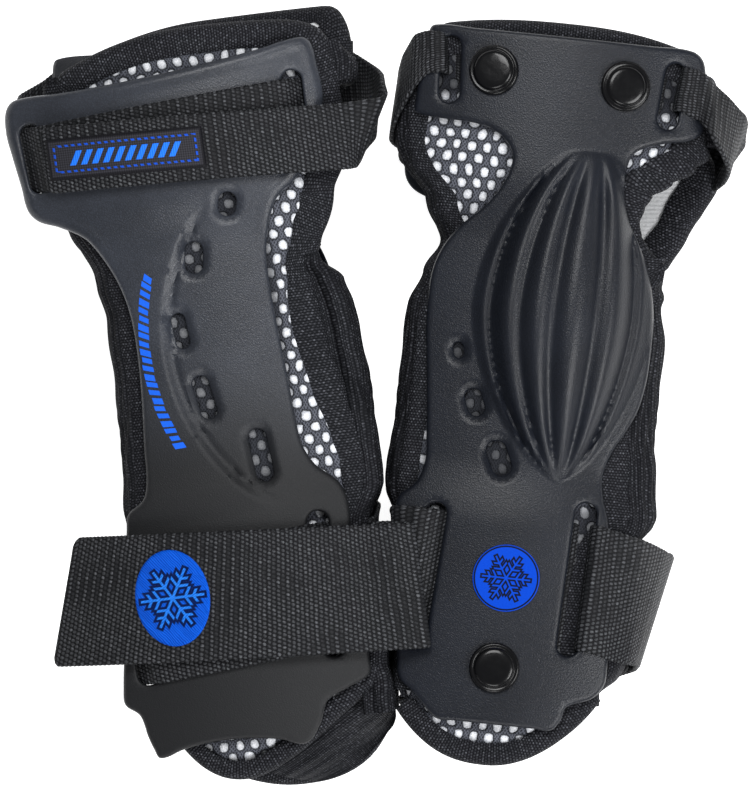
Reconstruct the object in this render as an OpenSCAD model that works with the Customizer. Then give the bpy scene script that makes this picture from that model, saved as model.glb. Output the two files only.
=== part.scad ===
// Pair of wrist guards: padded sleeves stiffened by a dorsal plate on the back of the
// hand and a domed palm plate, each closed by a hand strap and a forearm strap.
// Every guard is drawn in its own frame: +X to the thumb, +Y to the fingers, +Z out of
// the back of the hand, origin on the arm's axis. The left guard lies on its palm plate
// and the right guard, its mirror image, lies on its back with the palm plate up.

/* [Pair] */
// Left guard's turn about the vertical, in degrees
left_turn = 7.9; // [5:0.1:9]
// Right guard's turn about the vertical, in degrees
right_turn = -6; // [-7:0.1:-3]
// Distance between the two arm axes at their origins
pair_pitch = 88.5; // [88.4:0.1:110]

/* [Sleeve] */
// Height of the sleeve's back above the arm axis, at its lowest
back_rise = 19; // [17:0.5:22]
// Depth of the sleeve's palm side below the arm axis, at its shallowest
palm_drop = 19; // [17:0.5:22]
// Radius of the sleeve's back and palm faces across the arm
cross_r = 104; // [90:1:140]
// Rise of both faces towards the sleeve's ends
end_flare = 2; // [1:0.5:3]
// Place of the palm layer's finger end
palm_end_y = 111.5; // [108:0.5:114]
// How far the dorsal layer stops short of the palm layer at the fingers
finger_step = 4; // [2:0.5:6]
// Place of the left sleeve's forearm end
left_end_y = -118; // [-120:0.5:-114]
// Place of the right sleeve's forearm end
right_end_y = -111; // [-116:0.5:-109]
// Depth of the rounding of both ends
forearm_round = 20; // [14:1:22]
// Outward swell of the knitted gussets
gusset_swell = 3.6; // [3:0.1:5]
// Thickness of the knitted gussets
gusset_t = 2.2; // [1.6:0.1:2.6]

/* [Layers] */
// Thickness of the mesh face fabric
face_t = 1.2; // [0.8:0.1:1.6]
// Thickness of the foam
foam_t = 3; // [2:0.5:4]
// Thickness of the lining
lining_t = 0.8; // [0.6:0.1:1.2]
// Width of the binding tape
binding_w = 9; // [7:0.5:11]
// Gap between one sewn layer and the next
layer_gap = 0.2; // [0.1:0.05:0.3]

/* [Plates] */
// Thickness of the moulded plates
plate_t = 2.6; // [2:0.1:3]
// Gap between a plate and the sleeve where no webbing passes
seat_gap = 0.4; // [0.3:0.1:0.8]
// Half width of the dorsal plate across the hand
dorsal_hand_half = 47; // [44:0.5:49]
// Half width of the dorsal plate at its waist
dorsal_waist_half = 21.5; // [19:0.5:24]
// Half width of the dorsal plate on the forearm
dorsal_forearm_half = 36; // [35:0.5:37]
// Height of the raised land beside the dorsal vents
land_h = 0.9; // [0.5:0.1:1.4]
// Radius of the land's edge
land_r = 62.5; // [58:0.5:68]
// Half width of the palm plate across the hand
palm_hand_half = 42; // [40:0.5:44]
// Half width of the palm plate at its narrow neck
palm_neck_half = 17; // [15:0.5:20]
// Half width of the palm plate beside the dome
palm_dome_half = 33.5; // [32:0.5:36]
// Half width of the palm plate on the forearm
palm_forearm_half = 31.5; // [30.5:0.5:32.5]
// Height of the palm dome
dome_h = 12; // [9:0.5:13]
// Half length of the palm dome
dome_half_l = 47.5; // [42:0.5:50]
// Half width of the palm dome
dome_half_w = 27; // [24:0.5:28]
// Depth of the grooves between the dome's six ribs
groove_h = 2.2; // [0.5:0.1:3]

/* [Straps] */
// Width of the forearm webbing
forearm_web_w = 38; // [34:1:40]
// Width of the hand webbing
hand_web_w = 20; // [18:1:22]
// Thickness of the webbing
web_t = 1.5; // [1.2:0.1:1.8]
// Thickness of the hook tape
hook_t = 0.8; // [0.6:0.1:1.2]
// Gap between webbing and what it lies on
web_gap = 0.3; // [0.2:0.05:0.4]
// Spare length at both ends of a slot
slot_spare = 2.8; // [1.5:0.1:4]
// Width of the slots
slot_w = 6.6; // [6:0.1:8]
// Length of the sewn label on the hand strap
label_l = 47; // [40:1:50]
// Width of the sewn label
label_w = 13; // [10:0.5:15]
// Length of the oval badge across the forearm strap
badge_d = 28.8; // [20:0.2:30]
// Width of the oval badge along the forearm strap
badge_w = 22.4; // [16:0.2:30]
// Thickness of the badges and of the label
badge_t = 0.6; // [0.4:0.1:0.8]
// Diameter of the printed disc on the palm plate
disc_d = 20; // [14:1:22]

/* [Rivets] */
// Diameter of the rivet caps
cap_d = 15; // [12:0.5:17]
// Height of the rivet caps
cap_h = 3; // [2:0.25:4]
// Diameter of the rivet posts
post_d = 4; // [3:0.25:5]
// Diameter of the washers inside the palm
washer_d = 12; // [10:0.5:14]
// Clearance round the posts
post_gap = 0.1; // [0.05:0.05:0.2]

/* [Hidden] */
SIDES = ["left", "right"];
PIECES = ["dorsal_plate", "dorsal_stripe", "palm_plate", "palm_disc", "rivet_caps", "rivet_posts",
    "rivet_washers", "dorsal_panel", "dorsal_foam", "dorsal_lining", "palm_panel", "palm_foam",
    "palm_lining", "finger_side_gusset", "thumb_side_gusset", "thumb_bridge", "dorsal_finger_binding",
    "palm_finger_binding", "dorsal_forearm_binding", "palm_forearm_binding", "thumb_hole_binding",
    "hand_strap", "hand_strap_flap", "hand_strap_hook", "hand_strap_label", "forearm_strap",
    "forearm_strap_flap", "forearm_strap_hook", "forearm_strap_badge"];
$fn = 48;

// Colours
black_knit = "#17181a";
plate_grey = "#33363a";
webbing_black = "#121314";
cloth_white = "#d9dadc";
blue = "#0a63e6";
foam_grey = "#6d7075";

// ---- small helpers ----
function is_left(side) = side == "left";
function mix(a, b, t) = a + (b - a) * t;
function clamp01(t) = min(max(t, 0), 1);
function smooth(t) = let (u = clamp01(t)) u * u * (3 - 2 * u);
// A value that follows a short list of [y, value], smooth from each to the next
function follow(list, y, i = 0) =
    y <= list[0][0] ? list[0][1] :
    i >= len(list) - 1 ? list[len(list) - 1][1] :
    y <= list[i + 1][0] ? mix(list[i][1], list[i + 1][1],
        smooth((y - list[i][0]) / (list[i + 1][0] - list[i][0]))) :
    follow(list, y, i + 1);
function flat(rows) = [for (row = rows) each row];

// A closed sheet between two grids of points, upper and lower, rows towards -Y and
// columns towards +X; closed joins the last row to the first
module shell(upper, lower) {
    rows = len(upper);
    cols = len(upper[0]);
    n = rows * cols;
    last = (rows - 1) * cols;
    face = concat(
        [for (i = [0:rows - 2]) for (j = [0:cols - 2])
            let (a = i * cols + j) [a, a + 1, a + cols + 1, a + cols]],
        [for (i = [0:rows - 2]) for (j = [0:cols - 2])
            let (a = n + i * cols + j) [a, a + cols, a + cols + 1, a + 1]],
        [for (i = [0:rows - 2]) let (a = i * cols) [a, a + cols, n + a + cols, n + a]],
        [for (i = [0:rows - 2]) let (a = i * cols + cols - 1) [a, n + a, n + a + cols, a + cols]],
        [for (j = [0:cols - 2]) [j, n + j, n + j + 1, j + 1]],
        [for (j = [0:cols - 2]) let (a = last + j) [a, a + 1, n + a + 1, n + a]]);
    polyhedron(points = concat(flat(upper), flat(lower)),
        faces = [for (f = face) each [[f[0], f[1], f[2]], [f[0], f[2], f[3]]]]);
}

// ---- the sleeve's faces, and what lies on them ----
waist_y = 10;
palm_waist_y = 30;
function back_z(x, y) = back_rise + end_flare * pow((y - waist_y) / 100, 2) - x * x / (2 * cross_r);
function palm_z(x, y) = -palm_drop - end_flare * pow((y - palm_waist_y) / 110, 2) + x * x / (2 * cross_r);
// Half width of the padded panels; the gussets swell out past it
edge_list = [[-96, 28], [-82, 27], [-58, 28.5], [-45, 30], [-32, 34.3], [-10, 34], [12, 33.6], [40, 32],
    [56, 38], [72, 43.2], [95, 42.5], [112, 40]];
function edge_x(y) = follow(edge_list, y);
// Palm panel's thumb side, cut back round the thumb
thumb_list = [[40, 32], [56, 26], [66, 27], [80, 40], [95, 42.5], [112, 40]];
function thumb_x(y) = y < 40 ? edge_x(y) : follow(thumb_list, y);
thumb_lo_y = 40;
thumb_hi_y = 86;

// The plates stand off the sleeve by the webbing that runs under them
web_room = web_t + 2 * web_gap;
function lift(y) = seat_gap + (web_room - seat_gap) * (smooth((y - 50) / 14) + smooth((-26 - y) / 11));
function back_under(x, y) = back_z(x, y) + lift(y);
function palm_under(x, y) = palm_z(x, y) - lift(y) - dome(x, y);
// Plate faces seen from outside
land_at = [50.5, 13];
function land(u, v) = land_h * smooth((norm([u, v] - land_at) - land_r) / 2.5 + 0.5)
    * smooth((60 - v) / 12) * smooth((v + 37) / 10);
// Dome: a lens between two poles, swelling as 1 - u^2 across and 1 - v^2 along, with ribs
dome_mid_y = 24.5;
rib_count = 6;
function dome(x, y) =
    let (v = (y - dome_mid_y) / dome_half_l, k = max(1 - v * v, 0),
        w = dome_half_w * pow(k, 0.65) * (1 + 0.13 * v), cx = mix(10.3, 6.6, k),
        u = w > 0.5 ? min(max((x - cx) / w, -1), 1) : 1,
        m = max(1 - u * u, 0), rib = abs(sin(rib_count * (asin(u) + 90))))
    dome_h * pow(k, 0.85) * pow(m, 0.8) - groove_h * (1 - rib) * pow(k * m, 0.6);

// ---- how each guard lies ----
function plate_shift(side) = is_left(side) ? -6.5 : 3.5;
plate_twist = 2;
function end_y(side) = is_left(side) ? left_end_y : right_end_y;
// Dorsal plate's own u, v to the sleeve's x, y
function on_sleeve(side, p) = [
    plate_shift(side) + p[0] * cos(plate_twist) - p[1] * sin(plate_twist),
    p[0] * sin(plate_twist) + p[1] * cos(plate_twist)];
left_at = [-41.6, 0.6];
right_at_y = -0.5;
badge_stack = web_room + plate_t + web_gap + web_t + web_gap + hook_t + layer_gap + web_t + badge_t;
left_lift = palm_drop + seat_gap + plate_t + dome_h - 0.2;
right_lift = back_rise + end_flare * 0.49 + badge_stack + 0.2;
module placed(side) {
    if (is_left(side)) {
        translate([left_at[0], left_at[1], left_lift]) rotate(left_turn) children();
    } else {
        translate([left_at[0] + pair_pitch, right_at_y, right_lift]) rotate(right_turn) mirror([0, 0, 1]) children();
    }
}

// ---- dorsal plate ----
hand_slots_uv = [[-40.9, 78.4, 1.5, 1.95], [38.4, 78.9, -3, 3.4]];
forearm_slots_uv = [[-34.1, -60.4, 7.5], [23.2, -61.2, 3.5]];
// [v left, u left, v right, u right] down the plate's two edges
dorsal_rows = let (h = dorsal_hand_half, w = dorsal_waist_half, f = dorsal_forearm_half) [
    [97, -h + 3.3, 100.6, h - 3.4], [94.5, -h, 98.5, h - 0.7], [88, -h - 1.2, 92, h + 0.1],
    [80, -h - 0.5, 82, h + 0.3], [71, -h + 0.6, 74, h - 2.5], [63.8, -h + 1.3, 67, h - 6.5],
    [60, -h + 4, 62, h - 9.5], [57.1, -w - 15.6, 58.5, w + 12.8], [52.6, -w - 8.8, 54.5, w + 7.1],
    [47.4, -w - 5.2, 48, w + 3.7], [39, -w - 1.5, 39, w + 1.2], [29, -w + 0.8, 29, w + 0.6],
    [17, -w + 1.1, 17, w + 0.7], [2, -w, 2, w + 1.1], [-12.7, -w - 1.8, -12.7, w + 1.3],
    [-21.6, -w - 2.7, -20, w + 2.1], [-27.4, -w - 4.7, -26, w + 4.9], [-31, -f + 4.6, -31.5, f - 4.1],
    [-35.4, -f + 3.3, -37, f - 2.2], [-50, -f + 0.5, -50, f - 2.8], [-66, -f - 2.6, -66, f - 3.3],
    [-83, -f - 6, -85, f - 3.8], [-87, -f - 6, -90, f - 4.6], [-90.7, -f - 2.2, -92.7, f - 11.2],
    [-97.1, -f - 0.9, -95.5, f - 18.1], [-101, -f + 0.2, -101.6, f - 21.3],
    [-104.2, -f + 1.8, -106.8, f - 26.5]];
dorsal_cols = 13;
// The finger edge dips and the forearm edge rises in the middle
function dorsal_bow(i) = let (n = len(dorsal_rows) - 1) i < 3 ? [-2.2, -1.6, -0.8][i] : i > n - 3 ? [1, 2, 3.5][i - n + 2] : 0;
function dorsal_uv(i, j) = let (r = dorsal_rows[i], s = j / (dorsal_cols - 1))
    [mix(r[1], r[3], s), mix(r[0], r[2], s) + dorsal_bow(i) * 4 * s * (1 - s)];
function dorsal_top(uv, p) = back_under(p[0], p[1]) + plate_t + land(uv[0], uv[1]);

cut_h = 120;
module slot(at, length, width, tilt) {
    translate([at[0], at[1], -cut_h / 2]) rotate(tilt) linear_extrude(cut_h) {
        square([width, length - width], center = true);
        for (s = [-1, 1]) translate([0, s * (length - width) / 2]) circle(d = width);
    }
}
// [u, v, length, width, tilt] of the dorsal vents
dorsal_vents = [[13.7, 55.2, 8.4, 6.4, -15], [1.2, 41.2, 10.8, 6.4, -10], [-6.5, 20.3, 12, 5.2, 3],
    [-2.8, -0.4, 14.4, 6, 8], [10.8, -20.2, 17.2, 6.4, 3]];
module dorsal_plate(side) color(plate_grey) difference() {
    grid = [for (i = [0:len(dorsal_rows) - 1]) [for (j = [0:dorsal_cols - 1])
        let (uv = dorsal_uv(i, j), p = on_sleeve(side, uv)) [p[0], p[1], dorsal_top(uv, p)]]];
    shell(grid, [for (row = grid) [for (p = row) [p[0], p[1], back_under(p[0], p[1])]]]);
    for (s = hand_slots_uv)
        slot(on_sleeve(side, s), hand_web_w - 2 + 2 * s[3], slot_w - 0.6, s[2] + plate_twist);
    for (s = forearm_slots_uv)
        slot(on_sleeve(side, s), forearm_web_w + 2 * slot_spare, slot_w, s[2] - 6 + plate_twist);
    for (v = dorsal_vents) slot(on_sleeve(side, v), v[2], v[3], v[4] + plate_twist);
}

// ---- palm plate ----
// [y, x left, x right] down the plate's two edges
palm_rows = let (h = palm_hand_half, n = palm_neck_half, d = palm_dome_half, f = palm_forearm_half) [
    [107.2, -h + 1.5, h - 5], [104, -h - 0.2, h - 1], [94, -h - 1, h + 0.2], [84, -h - 1.8, h + 0.8],
    [80.5, -h - 1.2, h - 3], [78.6, -h + 19, h - 11], [75, -n + 1, n + 6], [69.5, -n + 3.8, n + 4],
    [62, -n + 1.8, n + 4.2], [55, -n - 2.8, n + 6.2], [48, -d + 6.8, d - 6.5], [41, -d + 2.2, d - 3.1],
    [34, -d, d - 0.9], [26, -d - 0.4, d + 0.4], [17, -d - 0.1, d + 0.6], [8, -d + 1, d + 0.3],
    [-1, -d + 2, d - 1.3], [-8, -d + 2.8, d - 4.3], [-15, -d + 3.4, d - 8], [-22, -d + 3.9, d - 9.9],
    [-29, -f, f - 7], [-35.6, -f - 5.4, f - 5], [-58, -f - 3, f - 2.6], [-82, -f - 0.5, f - 0.7],
    [-88, -f + 0.8, f - 4], [-91.5, -f + 5, f - 11.6], [-95.5, -f + 9, f - 13], [-98.8, -f + 13.3, f - 15.7]];
palm_cols = 25;
palm_hand_slots = [[-34.5, 94.4, 4], [32.2, 93, -4]];
palm_forearm_slots = [[-24, -56.5, -4, 0], [18.4, -53.4, -2, 1.2]];
palm_vents = [[-23.2, 11.1, 6, 4, 14], [-16.8, -3.9, 9.6, 6, 22], [-7.9, -19.8, 12, 7, 25]];
rivets = [[-20.9, 95.2], [17.5, 94.4], [-2.8, -82]];

// Stands its children at a point of the palm plate's seat, square to it, with -Z outwards
function palm_slope(y) = -2 * end_flare * (y - palm_waist_y) / pow(110, 2);
module at_palm(p, depth) {
    translate([p[0], p[1], palm_z(p[0], p[1]) - lift(p[1])])
        rotate([atan(palm_slope(p[1])), -atan(p[0] / cross_r), 0]) translate([0, 0, -depth]) children();
}
module rivet_bores(d) for (p = rivets) at_palm(p, 0) cylinder(d = d, h = 30, center = true);
module palm_plate(side) color(plate_grey) difference() {
    grid = [for (r = palm_rows) [for (j = [0:palm_cols - 1])
        let (x = mix(r[1], r[2], j / (palm_cols - 1))) [x, r[0], palm_under(x, r[0])]]];
    shell(grid, [for (row = grid) [for (p = row) p - [0, 0, plate_t]]]);
    for (s = palm_hand_slots) slot(s, hand_web_w, slot_w - 0.4, s[2]);
    for (s = palm_forearm_slots) slot(s, forearm_web_w + 2 * (slot_spare + s[3]), slot_w, s[2]);
    for (v = palm_vents) slot(v, v[2], v[3], v[4]);
    rivet_bores(post_d + 2 * post_gap);
}
disc_at = [-2.1, -55.1];
module palm_disc(side) color(blue)
    at_palm(disc_at, plate_t + 0.1 + badge_t) cylinder(d = disc_d, h = badge_t);

// ---- rivets ----
cap_ball_r = (pow(cap_d / 2, 2) + pow(cap_h, 2)) / (2 * cap_h);
module rivet_caps(side) color(webbing_black) for (p = rivets)
    at_palm(p, plate_t + 0.3 + cap_h) intersection() {
        translate([0, 0, cap_ball_r]) sphere(r = cap_ball_r);
        cylinder(d = cap_d, h = cap_h);
    }
module rivet_posts(side) color("silver") for (p = rivets)
    at_palm(p, plate_t + 0.3)
        cylinder(d = post_d, h = plate_t + 0.3 + lift(p[1]) + face_t + layer_gap + foam_t - 1);
module rivet_washers(side) color("silver") for (p = rivets)
    at_palm(p, -lift(p[1]) - face_t - layer_gap - foam_t + 0.9) cylinder(d = washer_d, h = 0.8);

// ---- padded panels ----
// Rows across a panel, as shares of the way from the fingers to the forearm, closer where it narrows
row_shares = [0, 0.08, 0.157, 0.21, 0.296, 0.445, 0.563, 0.68, 0.75, 0.82, 0.91, 1];
face_cols = 9;
inner_cols = 7;
// Each end of a layer is [share of the half width where it reaches furthest, y there, how far
// it falls back to the little finger's corner and by which power, and the same for the thumb's]
finger_ends = [[[0, palm_end_y - finger_step + 2.2, 10, 2.2, 11, 5], [0.1, palm_end_y + 1.5, 8.5, 2, 1.5, 2]],
    [[0, palm_end_y - finger_step, 4, 2.5, 6, 2.5], [0, palm_end_y, 4, 2.5, 6, 2.5]]];
forearm_ends = [[[-0.4, left_end_y + 3, 11, 2.5, 25, 1.5], [0.2, left_end_y - 0.7, 15, 2, 13, 3]],
    [[-0.1, right_end_y + 1.5, 12, 2.5, 21, 2], [-0.1, right_end_y - 0.4, 12.5, 2.5, 21, 2]]];
function layer_end(ends, side, palm) = ends[is_left(side) ? 0 : 1][palm ? 1 : 0];
function fall(e, s) = s < e[0] ? e[2] * pow((e[0] - s) / (1 + e[0]), e[3]) : e[4] * pow((s - e[0]) / (1 - e[0]), e[5]);
function finger_y(side, s, palm) = let (e = layer_end(finger_ends, side, palm)) e[1] - fall(e, s);
function forearm_y(side, s, palm) = let (e = layer_end(forearm_ends, side, palm)) e[1] + fall(e, s);
// One row of points across a panel at t of the way from its forearm edge to its fingers
function panel_point(side, palm, s, y, depth) =
    let (x = s < 0 ? s * edge_x(y) : s * (palm ? thumb_x(y) : edge_x(y)))
    [x, y, palm ? palm_z(x, y) + depth : back_z(x, y) - depth];
function panel_grid(side, palm, depth, cols, trim) = [for (t = row_shares) [for (j = [0:cols - 1])
    let (s = 2 * j / (cols - 1) - 1, y = mix(finger_y(side, s, palm) - trim, forearm_y(side, s, palm) + trim, t))
    panel_point(side, palm, s, y, depth)]];
module panel_layer(side, palm, depth, t, cols) {
    trim = binding_w + layer_gap;
    near = panel_grid(side, palm, depth, cols, trim);
    far = panel_grid(side, palm, depth + t, cols, trim);
    if (palm) shell(far, near);
    else shell(near, far);
}
foam_depth = face_t + layer_gap;
lining_depth = foam_depth + foam_t + layer_gap;
wall_t = lining_depth + lining_t;
module dorsal_panel(side) color(cloth_white) panel_layer(side, false, 0, face_t, face_cols);
module dorsal_foam(side) color(foam_grey) panel_layer(side, false, foam_depth, foam_t, inner_cols);
module dorsal_lining(side) color(cloth_white) panel_layer(side, false, lining_depth, lining_t, inner_cols);
module palm_panel(side) color(cloth_white) difference() {
    panel_layer(side, true, 0, face_t, face_cols);
    rivet_bores(post_d + 2 * post_gap);
}
module palm_foam(side) color(foam_grey) difference() {
    panel_layer(side, true, foam_depth, foam_t, inner_cols);
    rivet_bores(post_d + 2 * post_gap);
    for (p = rivets) at_palm(p, -lift(p[1]) - foam_depth - foam_t + 1) cylinder(d = washer_d + 1, h = 3);
}
module palm_lining(side) color(cloth_white) panel_layer(side, true, lining_depth, lining_t, inner_cols);

// ---- binding tape on the four ends ----
module end_binding(side, palm, finger) {
    function row(i, depth) = [for (j = [0:12]) let (s = j / 6 - 1,
        y0 = finger ? finger_y(side, s, palm) : forearm_y(side, s, palm) + binding_w)
        panel_point(side, palm, s, y0 - binding_w * i / 2, depth)];
    near = [for (i = [0:2]) row(i, i == 1 ? -0.4 : 0.1)];
    far = [for (i = [0:2]) row(i, wall_t + (i == 1 ? 0.4 : -0.1))];
    if (palm) shell(far, near);
    else shell(near, far);
}
module dorsal_finger_binding(side) color(black_knit) end_binding(side, false, true);
module palm_finger_binding(side) color(black_knit) end_binding(side, true, true);
module dorsal_forearm_binding(side) color(black_knit) end_binding(side, false, false);
module palm_forearm_binding(side) color(black_knit) end_binding(side, true, false);

// ---- knitted gussets up both sides ----
// C-shaped section between the two panels' edges, from the back round to the palm
seam_gap = 1.2;
function side_x(y) = edge_x(y) + seam_gap + gusset_swell;
module gusset(sign, ys) {
    function arc(y, inset) = let (x0 = edge_x(y) + seam_gap, top = back_z(x0, y), low = palm_z(x0, y),
        mid = (top + low) / 2, half = (top - low) / 2)
        [for (k = [0:8]) let (a = 90 - 22.5 * k)
            [sign * (x0 + (gusset_swell - inset) * cos(a)), y, mid + (half - inset) * sin(a)]];
    outer = [for (y = ys) arc(y, 0)];
    inner = [for (y = ys) arc(y, gusset_t)];
    if (sign > 0) shell(outer, inner);
    else shell(inner, outer);
}
// The gussets end where both layers' ends have begun to round off
gusset_top = palm_end_y - finger_step - 7;
function gusset_ys(side) = let (trim = binding_w + layer_gap, top = gusset_top, low = end_y(side) + forearm_round * 0.86)
    concat([top], [for (t = row_shares) mix(top - trim, low + trim, t)], [low]);
module finger_side_gusset(side) color(black_knit) gusset(-1, gusset_ys(side));
module thumb_side_gusset(side) color(black_knit)
    gusset(1, concat([thumb_lo_y - 4], [for (y = gusset_ys(side)) if (y < thumb_lo_y - 8) y]));
module thumb_bridge(side) color(black_knit)
    gusset(1, [for (t = [0, 0.5, 1]) mix(gusset_top, thumb_hi_y + 3, t)]);

// ---- thumb hole, bound with the same tape ----
binding_r = 2.4;
thumb_steps = 11;
// Along the back's edge from the gusset to the bridge, then back along the palm's edge
function thumb_loop() = concat(
    [for (k = [0:thumb_steps]) let (y = mix(thumb_lo_y, thumb_hi_y, k / thumb_steps), x = edge_x(y) + 3.3)
        [x, y, back_z(x, y) - 2.6 - 9 * pow(1 - sin(180 * k / thumb_steps), 3)]],
    [for (k = [0:thumb_steps]) let (y = mix(thumb_hi_y, thumb_lo_y, k / thumb_steps), x = thumb_x(y) + 4)
        [x, y, palm_z(x, y) + 2.6 + 9 * pow(1 - sin(180 * k / thumb_steps), 3)]]);
module thumb_hole_binding(side) color(black_knit) {
    path = thumb_loop();
    n = len(path);
    sides = 6;
    points = [for (i = [0:n - 1]) let (
            ahead = path[(i + 1) % n] - path[(i + n - 1) % n],
            t = ahead / norm(ahead), a = cross(t, [1, 0, 0]), a1 = a / norm(a), a2 = cross(t, a1))
        for (k = [0:sides - 1]) path[i] + binding_r * (a1 * cos(60 * k) + a2 * sin(60 * k))];
    faces = [for (i = [0:n - 1]) for (k = [0:sides - 1]) let (
            a = i * sides + k, b = i * sides + (k + 1) % sides,
            c = ((i + 1) % n) * sides + (k + 1) % sides, d = ((i + 1) % n) * sides + k)
        each [[a, c, b], [a, d, c]]];
    polyhedron(points = points, faces = faces);
}

// ---- webbing ----
// Stations along a strap are [x, face, height, y]: face 1 measures height out of the
// sleeve's back, face -1 out of its palm side, and face 0 is a plain height; face 2 and
// -2 measure x out of the thumb's and the little finger's gusset. A fifth number leans
// the station by that many degrees, as a slot leans. The strap is straight along Y at
// each station, and its two edges follow the faces separately.
function strap_xz(s, dy) = let (y = s[3] + dy, x = s[0] - (len(s) > 4 ? dy * tan(s[4]) : 0))
    s[1] == 1 ? [x, back_z(x, y) + s[2] + extra(y)] :
    s[1] == -1 ? [x, palm_z(x, y) - s[2] - extra(y)] :
    s[1] == 0 ? [x, s[2]] : [sign(s[1]) * (side_x(y) + x), s[2]];
function extra(y) = lift(y) - web_room;
function strap_edge(stations, dy) = [for (s = stations) strap_xz(s, dy)];
function turned(p, k) = let (n = len(p), d = p[min(k + 1, n - 1)] - p[max(k - 1, 0)]) [-d[1], d[0]] / norm(d);
function strap_side(stations, dy, off) = let (p = strap_edge(stations, dy))
    [for (k = [0:len(p) - 1]) let (q = p[k] + off * turned(p, k)) [q[0], stations[k][3] + dy, q[1]]];
module strap(stations, width, t) {
    // stations run from +X to -X over the back, so the left-hand normal points outwards
    function face(off) = let (a = strap_side(stations, -width / 2, off), b = strap_side(stations, width / 2, off))
        [for (k = [0:len(a) - 1]) [a[k], b[k]]];
    shell(face(t / 2), face(-t / 2));
}
// Heights of the strap's middle: under a plate, over it, and the flap over both
under = web_gap + web_t / 2;
over = web_room + plate_t + web_gap + web_t / 2;
hook_mid = over + web_t / 2 + web_gap + hook_t / 2;
flap_mid = hook_mid + hook_t / 2 + layer_gap + web_t / 2;
label_mid = flap_mid + web_t / 2 + badge_t / 2 + layer_gap;
slot_half = slot_w / 2 - 0.1;
// Straight run of stations between two places
function run(x0, x1, face, height, y0, y1, n, a0 = 0, a1 = 0) =
    [for (k = [0:n]) [mix(x0, x1, k / n), face, height, mix(y0, y1, k / n), mix(a0, a1, k / n)]];

// Forearm strap: from the crease down the thumb side, out and in through the palm
// plate's slots, up the little-finger side, and through the dorsal plate's slots
crease_x = 46;
crease_z = 22;
forearm_crease_y = -64.4;
forearm_y_mid = -61;
function forearm_dorsal(side, k) = on_sleeve(side, forearm_slots_uv[k])[0];
// Gap from a gusset to the middle of webbing that lies on it
beside = web_gap + web_t / 2;
loose = beside + 0.3;
function forearm_path(hand) = let (
    r = palm_forearm_slots[1], l = palm_forearm_slots[0], py = -55.6, pf = palm_forearm_half, side = side_x(-57),
    dl = forearm_dorsal(hand, 0), dr = forearm_dorsal(hand, 1),
    tl = forearm_slots_uv[0][2] - 6 + plate_twist, tr = forearm_slots_uv[1][2] - 6 + plate_twist,
    far = max(-dl + 4 - side_x(-60), beside), edge = on_sleeve(hand, [dorsal_forearm_half - 3.3, -62])[0])
    concat(
        // The left strap turns back sharply and lies close; the right one stands out in a loop
        is_left(hand) ? [[crease_x - 1.6, 0, crease_z - 0.9, forearm_crease_y], [crease_x - 5, 0, crease_z - 1.2, forearm_crease_y + 1],
            [max(36.6, edge + 2.2), 0, crease_z - 1.6, -63], [max(34, edge + 1.6), 0, crease_z - 3.2, -62.6],
            [max(side_x(-60) + beside, edge + 1.6), 0, 15, -62], [loose, 2, 8, -61.3], [loose, 2, 0, -60],
            [max(loose, pf + 3 - side), 2, -8, -58], [max(beside - 1.4, pf + 1.5 - side), 2, -13, -57],
            [pf - 0.1, -1, over - 1, -56.2]] :
        [[crease_x + 0.6, 0, crease_z - 2.6, forearm_crease_y, 0], [crease_x + 0.6, 0, 15, -63.2, -3],
            [crease_x - 0.4, 0, 8, -62.2, -7], [crease_x - 1.8, 0, 0, -61, -9.6], [crease_x - 4, 0, -8, -59.6, -9.6],
            [max(38.5, pf + 7), 0, -15, -58, -7], [max(35, pf + 3.5), 0, -19, -57, -4], [pf - 0.1, -1, over - 0.3, -56.2, -2]],
        run(pf - 2.5, r[0] + slot_half, -1, over, py, py, 2, 0, r[2]),
        run(r[0] - slot_half, l[0] + slot_half, -1, under, py, py, 6, r[2], l[2]),
        run(l[0] - slot_half, -pf - 2.9, -1, over, py, py, 2, l[2], 6),
        [[-pf - 4.5, -1, over - 0.8, -56, 6], [max(beside + 0.2, pf + 3 - side), -2, -13.5, -57],
            [max(beside, pf + 3 - side), -2, -6, -58],
            [mix(beside, far, 0.6), -2, 2, -59], [far, -2, 7, -60]],
        is_left(hand) ? [] : [[beside - 0.5, -2, 11.4, -60.2]],
        [[dl - slot_half, 1, under, -60.4, tl]],
        run(dl + slot_half, dr - slot_half, 1, over, forearm_y_mid, forearm_y_mid, 10, tl, tr),
        [[dr + slot_half, 1, under, forearm_y_mid, tr], [dr + slot_half + 3, 1, under, forearm_y_mid]]);
module forearm_strap(side) color(webbing_black) strap(forearm_path(side), forearm_web_w, web_t);

function forearm_flap_end(side) = is_left(side) ? -59.4 : -36.5;
// The left flap's free end is cut on a slant, and the weave leans to it
function flap_lean(side, x) = is_left(side) ? -17.8 * (crease_x - x) / (crease_x - forearm_flap_end(side)) : 0;
function forearm_flap_y(x) = -60.6 - 0.086 * x;
function flap_run(side, x0, x1, height, n) =
    [for (k = [0:n]) let (x = mix(x0, x1, k / n)) [x, 1, height, forearm_flap_y(x), flap_lean(side, x)]];
module forearm_strap_flap(side) color(webbing_black) strap(concat(
    [[crease_x, 0, crease_z + 1.2, forearm_flap_y(crease_x)], [crease_x - 6, 0, crease_z + 2, forearm_flap_y(40)]],
    flap_run(side, 31, forearm_flap_end(side), flap_mid, 14)), forearm_web_w, web_t);
hook_from = 6;
module forearm_strap_hook(side) color(webbing_black)
    strap(flap_run(side, hook_from, max(forearm_flap_end(side), -54) + 3, hook_mid, 8), forearm_web_w - 2, hook_t);
badge_x = -26.8;
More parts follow.
